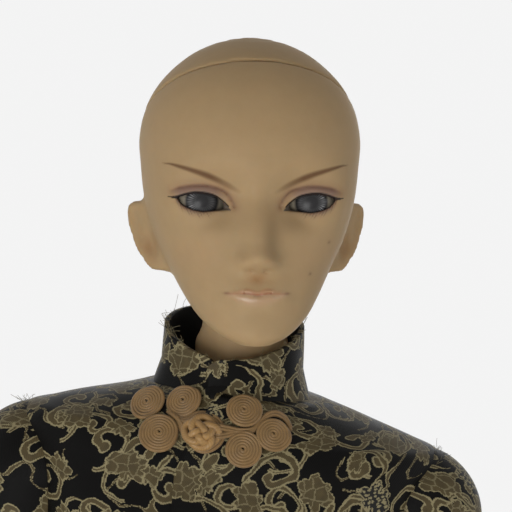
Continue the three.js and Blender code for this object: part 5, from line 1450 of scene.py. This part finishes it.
def cord_tree():
    """Round cord swept along each strand."""
    tree, given, strand = path_tree("Swept cord", (("Cord radius", "Float", 0.0004), ("Sides", "Int", 8)))
    strand = stored(tree, strand, "Along", node(tree, "GeometryNodeSplineParameter").outputs["Length"])
    sides, radius = given["Sides"], given["Cord radius"]
    ring = node(tree, "GeometryNodeCurvePrimitiveCircle", Resolution=sides, Radius=radius).outputs[0]
    ring = stored(tree, ring, "Around", node(tree, "GeometryNodeSplineParameter").outputs["Factor"])
    swept_cord = node(tree, "GeometryNodeCurveToMesh", Curve=strand, Profile_Curve=ring, Fill_Caps=True)
    return close_tree(tree, swept_cord.outputs[0], given["Material"])


def stitch_tree():
    """Row of short stitches along each strand."""
    tree, given, strand = path_tree("Row of stitches", (
        ("Pitch", "Float", 0.0022), ("Length", "Float", 0.0015), ("Thickness", "Float", 0.00022)))
    settings = {"mode": "LENGTH"}
    points = node(tree, "GeometryNodeCurveToPoints", settings, Curve=strand, Length=given["Pitch"]).outputs
    one = node(tree, "GeometryNodeMeshIcoSphere", Radius=0.5, Subdivisions=1).outputs[0]
    thick = given["Thickness"]
    size = node(tree, "ShaderNodeCombineXYZ", X=thick, Y=thick, Z=given["Length"]).outputs[0]
    rows = node(tree, "GeometryNodeInstanceOnPoints", Points=points["Points"], Instance=one,
                Rotation=points["Rotation"], Scale=size).outputs[0]
    return close_tree(tree, rows, given["Material"])


def grown(name, strands, tree, material, **values):
    """Mesh that a node tree grows along strands of points in millimetres in the doll's frame."""
    points = np.concatenate(strands) * MM
    edges, at = [], 0
    for strand in strands:
        edges += [(at + k, at + k + 1) for k in range(len(strand) - 1)]
        at += len(strand)
    paths = bpy.data.meshes.new(name)
    paths.from_pydata(points.tolist(), edges, [])
    obj = bpy.data.objects.new(name, paths)
    bpy.context.scene.collection.objects.link(obj)
    modifier = obj.modifiers.new("Path", "NODES")
    modifier.node_group = tree
    values["Material"] = material
    for item in tree.interface.items_tree:
        if item.in_out == "INPUT" and item.name in values:
            modifier[item.identifier] = values[item.name]
    mesh = bpy.data.meshes.new_from_object(obj.evaluated_get(bpy.context.evaluated_depsgraph_get()))
    mesh.name = name
    obj.modifiers.clear()
    obj.data = mesh
    bpy.data.meshes.remove(paths)
    return obj


# Frog: flat coils of satin cord on the front, a loop and a button knot
FROG_CORD = 0.46
FROG_TUBE, KNOT_TUBE, FRAY_TUBE, STITCH_RISE = FROG_CORD * 1.22, 1.15, 0.055, 0.12
FROG_PITCH = 0.83
FROG_STAND = 1.15
COIL_LEAN = 6.0
LOOP_COILS = ((-25.3, 540.9, 5.8), (-15.0, 543.0, 5.7), (-20.9, 534.1, 6.3))
KNOT_COILS = ((2.1, 543.0, 5.7), (11.3, 537.4, 5.6), (3.2, 532.7, 5.8))
LOOP_LINE = [
    (-19.0, 540.0), (-16.6, 538.9), (-13.6, 539.6), (-10.8, 541.0), (-7.6, 541.2), (-4.6, 539.8),
    (-3.0, 537.0), (-3.9, 534.0), (-6.6, 531.9), (-9.6, 531.7), (-12.4, 533.4), (-14.4, 535.8),
    (-16.2, 538.2), (-18.4, 540.2),
]
STEM_LINES = (
    [(-6.6, 538.2), (-4.2, 538.6), (-2.0, 538.4), (1.6, 538.0), (5.2, 538.6), (7.0, 540.6), (9.0, 542.7),
     (11.6, 543.4), (14.4, 542.2), (16.4, 539.6)],
    [(-6.6, 536.2), (-4.4, 536.2), (-2.2, 536.6), (0.8, 537.4), (4.4, 537.7), (6.4, 539.6)],
)
KNOT_AT, KNOT_SIZE, KNOT_RISE = (-9.0, 536.5), (4.9, 4.0), 2.6
# Share of the loop's size and height over the cloth for each of its three cords
LOOP_RUNS = ((1.06, 1.0), (0.92, 1.5), (0.78, 1.8))


def collar_shift(up):
    """How far the collar leans to the doll's right, for each share of its height."""
    return bpy.context.scene.doll_jacket.collar_shift / MM * (0.45 + 0.55 * up)


def cloth_front(x, z):
    """How far forward the jacket and its collar stand at a place, seen from the front."""
    middle, width, front, _, square = by_height(JACKET_ROWS, np.minimum(z, JACKET_ROWS[-1][0]))
    jacket = middle - front * np.maximum(1 - (np.abs(x) / width) ** square, 0) ** (1 / square)
    up = np.clip((z - COLLAR_Z - 1) / 13, 0, 1)
    radius = np.interp(up, *COLLAR_FLARE)
    collar = TOP_Y - np.sqrt(np.maximum(radius ** 2 - (x + collar_shift(up)) ** 2, 0))
    return np.where(z > COLLAR_Z + 1, np.minimum(jacket, collar), jacket)


def laid(points, rise):
    """Points drawn flat on the front (across, up) set against the cloth at a height over it."""
    across, up = np.asarray(points, float).T
    return np.stack([across, cloth_front(across, up) - rise + MIDDLE_Y, up], 1)


def coil_strand(across, up, size):
    """Flat spiral of cord that leans with the cloth under it."""
    x = np.array([across - 4, across + 4, across, across, across])
    z = np.array([up, up, up - 4, up + 4, up])
    y = cloth_front(x, z)
    right = np.array([8, y[1] - y[0], 0]) / math.hypot(8, y[1] - y[0])
    upward = np.array([0, min(y[3] - y[2], COIL_LEAN), 8])
    upward -= right * (upward @ right)
    upward /= np.linalg.norm(upward)
    turns = (size - FROG_CORD) / FROG_PITCH
    turn = np.linspace(0.45, turns, int(turns * 44)) * 2 * math.pi
    tail = step_over(turn[-1] - turn, 1.6, 0)
    radius = FROG_PITCH * turn / (2 * math.pi) - 0.9 * tail
    crown = FROG_STAND + 0.35 * (1 - (radius / size) ** 2) - 0.7 * tail
    flat = np.array([across, y[4], up]) + np.cross(right, upward) * crown[:, None]
    flat += radius[:, None] * (np.cos(turn)[:, None] * right + np.sin(turn)[:, None] * upward)
    flat[:, 1] = np.minimum(flat[:, 1], cloth_front(flat[:, 0], flat[:, 2]) - 0.7)
    return flat + (0, MIDDLE_Y, 0)


def knot_strand():
    """Button knot: one cord woven over and under itself in a dome."""
    turn = np.linspace(0, 2 * math.pi, 420)
    reach = 0.62 + 0.38 * np.cos(4 * turn)
    across = KNOT_AT[0] + KNOT_SIZE[0] * reach * np.cos(3 * turn)
    up = KNOT_AT[1] + KNOT_SIZE[1] * reach * np.sin(3 * turn)
    rise = 1.5 + KNOT_RISE * np.sqrt(np.maximum(1.02 - reach ** 2, 0)) + 0.6 * np.sin(8 * turn)
    return laid(np.stack([across, up], 1), rise)


def satin_material(name, level):
    """Satin-covered cord: fine slanted threads, darker between them."""
    material, tree, shader = new_material(name)
    satin = bpy.context.scene.doll_trims.satin
    along, around = (Number(attribute(tree, way, "Fac")) for way in ("Along", "Around"))
    thread = maths("SINE", along * 9000 + around * 31.4) * 0.5 + 0.5
    tone = object_noise(tree, 420, 4.0)
    colour = blend_colour(tree, tone, shade_of(satin, 0.82 * level), shade_of(satin, 1.16 * level))
    colour = blend_colour(tree, thread * 0.25, colour, shade_of(satin, 0.6 * level))
    feed(tree, shader, Base_Color=colour, Roughness=spread(tree, thread, 0.38, 0.52), Sheen_Weight=0.15,
         Specular_IOR_Level=0.4, Normal=raised(tree, thread, 0.3, 0.0001))
    return material


def thread_material():
    """Dull gold sewing thread."""
    edge = bpy.context.scene.doll_jacket.edge
    return plain_material("Sewing thread", 1200, 3.0, shade_of(edge, 0.5), shade_of(edge, 1.1), 0.7)


class DOLL_OT_frog(bpy.types.Operator):
    """Wind the frog's coils, loop and button knot from satin cord"""
    bl_idname = "doll.frog"
    bl_label = "Frog"

    def execute(self, context):
        tree = cord_tree()
        satin = satin_material("Tan satin cord", 1.0)
        # The button knot's cord is the same satin made 1.2 times lighter: a painted highlight
        highlit_satin = satin_material("Bright satin cord", 1.2)
        loop = through(LOOP_LINE, np.linspace(0, 1, 160))
        middle = loop.mean(0)
        loops = [coil_strand(*coil) for coil in LOOP_COILS]
        loops += [laid(middle + (loop - middle) * share, rise) for share, rise in LOOP_RUNS]
        stems = [coil_strand(*coil) for coil in KNOT_COILS]
        for line in STEM_LINES:
            drawn = through(line, np.linspace(0, 1, 90))
            rise = np.interp(drawn[:, 0], [-6, -3.4, 0, 3], [2.6, 2.6, 1.2, 1.0])
            stems += [laid(drawn + (0, shift), rise) for shift in (-0.4, 0.4)]
        for name, strands, material, radius, sides, nodes in (
            ("frog_loop_cord", loops, satin, FROG_TUBE, 8, ["frog_loop"]),
            ("frog_knot_cord", stems, satin, FROG_TUBE, 8, ["frog_knot"]),
            ("frog_button_cord", [knot_strand()], highlit_satin, KNOT_TUBE, 12, []),
        ):
            obj = grown(name, strands, tree, material, **{"Cord radius": radius * MM, "Sides": sides})
            place(obj, "chest", *nodes, slot="gold_cord")
        return {"FINISHED"}


def loose_threads(seed, edge, out, count, away, where=None):
    """Strands of loose thread that stand from a raw edge."""
    rng = np.random.default_rng(seed)
    longest = bpy.context.scene.doll_trims.fray / MM
    places = np.arange(1, len(edge) - 1) if where is None else np.flatnonzero(where)
    strands = []
    for at in rng.choice(places, count):
        step = edge[min(at + 1, len(edge) - 1)] - edge[max(at - 1, 0)]
        step = step / max(np.linalg.norm(step), 1e-6)
        way = np.asarray(away) * rng.uniform(0.3, 1) + step * rng.normal(0, 0.6)
        way = way + out[at] * rng.normal(0.15, 0.45)
        way = way / np.linalg.norm(way)
        curl = rng.uniform(-0.8, 0.8, 3)
        share = np.linspace(0, 1, 7)[:, None] * longest * rng.uniform(0.15, 1) ** 1.6
        strands.append(edge[at] - way * 0.4 + way * share + curl * share ** 2 / longest + (0, MIDDLE_Y, 0))
    return strands


class DOLL_OT_edges(bpy.types.Operator):
    """Sew the seams and fray the raw edges of the jacket"""
    bl_idname = "doll.edges"
    bl_label = "Seams and edges"

    def execute(self, context):
        thread, cord, stitches = thread_material(), cord_tree(), stitch_tree()
        top, out = EDGES["collar top"]
        ends = (top[:, 0] > 11) & (top[:, 1] < 6) | (top[:, 0] < -17) & (top[:, 1] < 10)
        collar = loose_threads(5, top, out, 40, (0, 0, 1)) + loose_threads(6, top, out, 70, (0, 0, 1), ends)
        hem = loose_threads(8, *EDGES["hem"], 60, (0, 0, -1))
        frays = [("collar_frays", collar, "chest"), ("hem_frays", hem, "pelvis")]
        rows = [("collar_stitches", "collar foot", "chest"), ("hem_stitches", "hem row", "pelvis")]
        for side, sign in SIDES:
            rows.append((f"cuff_{side}_stitches", f"cuff row {side}", f"forearm_{side}"))
            cuff = loose_threads(20 + sign, *EDGES[f"cuff {side}"], 26, (0, 0, -1))
            frays.append((f"cuff_{side}_frays", cuff, f"forearm_{side}"))
            shoulder = loose_threads(40 + sign, *EDGES[f"shoulder {side}"], 46, (0.5 * sign, -0.3, 0.6))
            frays.append((f"shoulder_{side}_frays", shoulder, "chest"))
        for name, strands, body in frays:
            obj = grown(name, strands, cord, thread, **{"Cord radius": FRAY_TUBE * MM, "Sides": 4})
            place(obj, body, slot="brocade")
        for name, row, body in rows:
            points, out = EDGES[row]
            strand = points + out * STITCH_RISE + (0, MIDDLE_Y, 0)
            obj = grown(name, [strand], stitches, thread, Length=context.scene.doll_trims.stitch)
            place(obj, body, slot="brocade")
        return {"FINISHED"}


def elastic_material():
    """White braided elastic, greyer in the lows of its weave."""
    material, tree, shader = new_material("Braided elastic")
    space = node(tree, "ShaderNodeTexCoord").outputs["Object"]
    weave = bands(tree, space, "DIAGONAL", 420.0, 1.5) * bands(tree, space, "Z", 420.0, 1.5)
    colour = blend_colour(tree, weave, linear((148, 142, 130)), linear((222, 217, 204)))
    feed(tree, shader, Base_Color=colour, Roughness=0.85, Normal=raised(tree, weave, 0.5, 0.0003))
    return material


def steel_material():
    """Bent steel wire with drawing marks."""
    material, tree, shader = new_material("Drawn steel")
    marks = object_noise(tree, 900, 5.0)
    colour = blend_colour(tree, marks, linear((122, 124, 128)), linear((172, 174, 178)))
    feed(tree, shader, Base_Color=colour, Roughness=spread(tree, marks, 0.24, 0.46), Metallic=1.0)
    return material


def putty_material():
    """Off-white putty pressed by thumb."""
    dark, light = linear((188, 178, 160)), linear((216, 208, 192))
    return plain_material("Eye putty", 240, 4.0, dark, light, 0.8, (0.6, 0.0008))


class DOLL_OT_fittings(bpy.types.Operator):
    """Finish the elastic, hooks, magnets and putty that stay as solids"""
    bl_idname = "doll.fittings"
    bl_label = "Fittings"

    def execute(self, context):
        finishes = {"cord": elastic_material(), "putty": putty_material()}
        finishes.update(dict.fromkeys(("hook", "bar", "magnet"), steel_material()))
        for name, obj in FRAME["nodes"].items():
            for word, material in finishes.items():
                if word in name.split("_"):
                    for slot in obj.material_slots:
                        slot.material = material
        return {"FINISHED"}


# Stage
CAMERA_AZIMUTH, CAMERA_LIFT, CAMERA_ROLL = -0.81, 5.75, -7.0
CAMERA_AIM = (0.00053, 0.0, 0.5865)
# Lamp, where it stands, what it points at, its size
LAMPS = (
    ("Key", (-0.28, -1.0, 0.32), (0, 0, 0.57), 0.6),
    ("Fill", (-0.95, -0.35, 0.6), (0, 0, 0.55), 0.9),
    ("Side", (0.95, -0.3, 0.6), (0, 0, 0.55), 0.9),
    ("Back", (0.1, 1.25, 0.45), (0, 0, 0.4), 0.9),
    ("Top", (0.0, 0.1, 1.7), (0, 0, 0.4), 1.2),
)
WHITE = (1, 1, 1)
SEEN_WORLD, SEEN_FLOOR = 0.9, 0.42


FLOOR_RADIUS, FLOOR_SIDES = 2400, 64


def floor_mesh(material):
    """Round pale floor."""
    turn = np.linspace(0, 2 * math.pi, FLOOR_SIDES, endpoint=False)
    ring = np.stack([np.cos(turn), np.sin(turn), 0 * turn], 1) * FLOOR_RADIUS
    return mesh_object("Floor", ring, [list(range(FLOOR_SIDES))], material, smooth=False)


def seen_directly(tree):
    """1 for rays from the camera, through clear things and off glossy ones."""
    camera, clear, glossy = (
        Number(node(tree, "ShaderNodeLightPath").outputs[f"Is {kind} Ray"])
        for kind in ("Camera", "Transmission", "Glossy"))
    return maths("MAXIMUM", maths("MAXIMUM", camera, clear), glossy)


class DOLL_OT_stage(bpy.types.Operator):
    """Set the camera, a pale floor and soft studio light"""
    bl_idname = "doll.stage"
    bl_label = "Stage"

    def execute(self, context):
        style = context.scene.doll_stage
        scene = context.scene
        scene.view_settings.view_transform = "Standard"
        turn = [Matrix.Rotation(math.radians(a), 3, n) for a, n in (
            (CAMERA_AZIMUTH, "Z"), (-CAMERA_LIFT, "X"), (CAMERA_ROLL, "Y"))]
        right, ahead, up = (turn[0] @ turn[1] @ turn[2]).col
        camera = bpy.data.objects.new("Camera", bpy.data.cameras.new("Camera"))
        camera.data.sensor_width = 36
        camera.data.lens = style.lens
        camera.data.clip_end = 20
        at = Vector(CAMERA_AIM) - ahead * style.distance
        rows = [[right[n], up[n], -ahead[n], at[n]] for n in range(3)]
        camera.matrix_world = Matrix(rows + [[0, 0, 0, 1]])
        scene.collection.objects.link(camera)
        scene.camera = camera
        for name, stands, aim, size in LAMPS:
            lamp = bpy.data.lights.new(name, "AREA")
            lamp.energy = getattr(style, name.lower())
            lamp.size = size
            obj = bpy.data.objects.new(name, lamp)
            obj.location = stands
            obj.rotation_euler = (Vector(aim) - Vector(stands)).to_track_quat("-Z", "Y").to_euler()
            scene.collection.objects.link(obj)
        scene.world = bpy.data.worlds.new("Studio")
        scene.world.use_nodes = True
        tree = scene.world.node_tree
        strength = spread(tree, seen_directly(tree), style.around, SEEN_WORLD)
        feed(tree, tree.nodes["Background"], Color=WHITE, Strength=strength)
        material, tree, shader = new_material("Pale floor")
        feed(tree, shader, Base_Color=spread(tree, object_noise(tree, 3), 0.72, 0.78), Roughness=0.9,
             Emission_Color=WHITE, Emission_Strength=seen_directly(tree) * SEEN_FLOOR)
        floor_mesh(material)
        return {"FINISHED"}


def colour_setting(name, description, default):
    """Colour that can be set."""
    return FloatVectorProperty(
        name=name, description=description, size=3, min=0, max=1, default=default, subtype="COLOR_GAMMA")


def size_setting(name, description, default):
    """Length that can be set, in metres."""
    return FloatProperty(name=name, description=description, default=default, unit="LENGTH")


def power_setting(name, description, default):
    """Power of a lamp that can be set, in watts."""
    return FloatProperty(name=name, description=description, default=default, unit="POWER")


class DollHeadSettings(bpy.types.PropertyGroup):
    """Settings of the castings and the head"""
    skin: colour_setting("Skin", "Colour of the cast resin", (0.665, 0.56, 0.414))
    roughness: FloatProperty(
        name="Roughness", description="How matt the resin is", min=0, max=1, default=0.58, subtype="FACTOR")
    face_grid: size_setting("Face grid", "Distance between points on the face", 0.0006)


class DollEyeSettings(bpy.types.PropertyGroup):
    """Settings of the eyes"""
    iris: size_setting("Iris", "Radius of the iris", 0.0044)
    pupil: size_setting("Pupil", "Radius of the pupil", 0.0017)


class DollJacketSettings(bpy.types.PropertyGroup):
    """Settings of the jacket"""
    ground: colour_setting("Ground", "Colour of the satin ground", (0.035, 0.032, 0.028))
    figure: colour_setting("Figures", "Colour of the woven figures", (0.305, 0.26, 0.16))
    edge: colour_setting("Edges", "Colour of the thread round the figures", (0.54, 0.50, 0.37))
    lap: size_setting("Lap", "How far the left front lies over the right", 0.003)
    collar: size_setting("Collar", "Height of the stand collar", 0.0215)
    collar_shift: size_setting("Collar shift", "How far the collar leans to the doll's right", 0.0034)


class DollTrimSettings(bpy.types.PropertyGroup):
    """Settings of the frog, the seams and the frayed edges"""
    satin: colour_setting("Satin", "Colour of the frog's cord", (0.505, 0.388, 0.222))
    fray: size_setting("Fray", "Longest loose thread", 0.0045)
    stitch: size_setting("Stitch", "Length of one stitch", 0.0015)


class DollStageSettings(bpy.types.PropertyGroup):
    """Settings of the camera and the light"""
    lens: FloatProperty(name="Lens", description="Focal length", default=151.3, unit="CAMERA")
    distance: size_setting("Distance", "Camera to the doll", 0.63)
    key: power_setting("Key", "Power of the main lamp", 6.6)
    fill: power_setting("Fill", "Power of the lamp on the doll's right", 1.3)
    side: power_setting("Side", "Power of the lamp on the doll's left", 2.0)
    back: power_setting("Back", "Power of the lamp behind", 3.6)
    top: power_setting("Top", "Power of the lamp above", 0.25)
    around: FloatProperty(name="Around", description="Light from all sides", default=0.26, min=0)


class DOLL_PT_pieces(bpy.types.Panel):
    """Pieces of the doll and their settings"""
    bl_label = "Doll"
    bl_space_type = "VIEW_3D"
    bl_region_type = "UI"
    bl_category = "Doll"

    def draw(self, context):
        for operator in OPERATORS:
            self.layout.operator(operator.bl_idname)
        for key in SETTINGS:
            box = self.layout.box()
            for prop in SETTINGS[key].__annotations__:
                box.prop(getattr(context.scene, key), prop)


SETTINGS = {
    "doll_head": DollHeadSettings,
    "doll_eyes": DollEyeSettings,
    "doll_jacket": DollJacketSettings,
    "doll_trims": DollTrimSettings,
    "doll_stage": DollStageSettings,
}
OPERATORS = (
    DOLL_OT_head, DOLL_OT_eyes, DOLL_OT_castings, DOLL_OT_jacket, DOLL_OT_frog, DOLL_OT_edges,
    DOLL_OT_fittings, DOLL_OT_stage,
)


def register():
    """Adds the settings, the operators and the panel."""
    for key, group in SETTINGS.items():
        bpy.utils.register_class(group)
        setattr(bpy.types.Scene, key, PointerProperty(type=group))
    for cls in (*OPERATORS, DOLL_PT_pieces):
        bpy.utils.register_class(cls)


def unregister():
    """Takes the panel, the operators and the settings away."""
    for cls in (DOLL_PT_pieces, *reversed(OPERATORS)):
        bpy.utils.unregister_class(cls)
    for key, group in SETTINGS.items():
        delattr(bpy.types.Scene, key)
        bpy.utils.unregister_class(group)


def main():
    """Builds every piece and the stage."""
    register()
    for operator in OPERATORS:
        group, name = operator.bl_idname.split(".")
        getattr(getattr(bpy.ops, group), name)()
    bpy.context.view_layer.update()


if __name__ == "__main__":
    main()
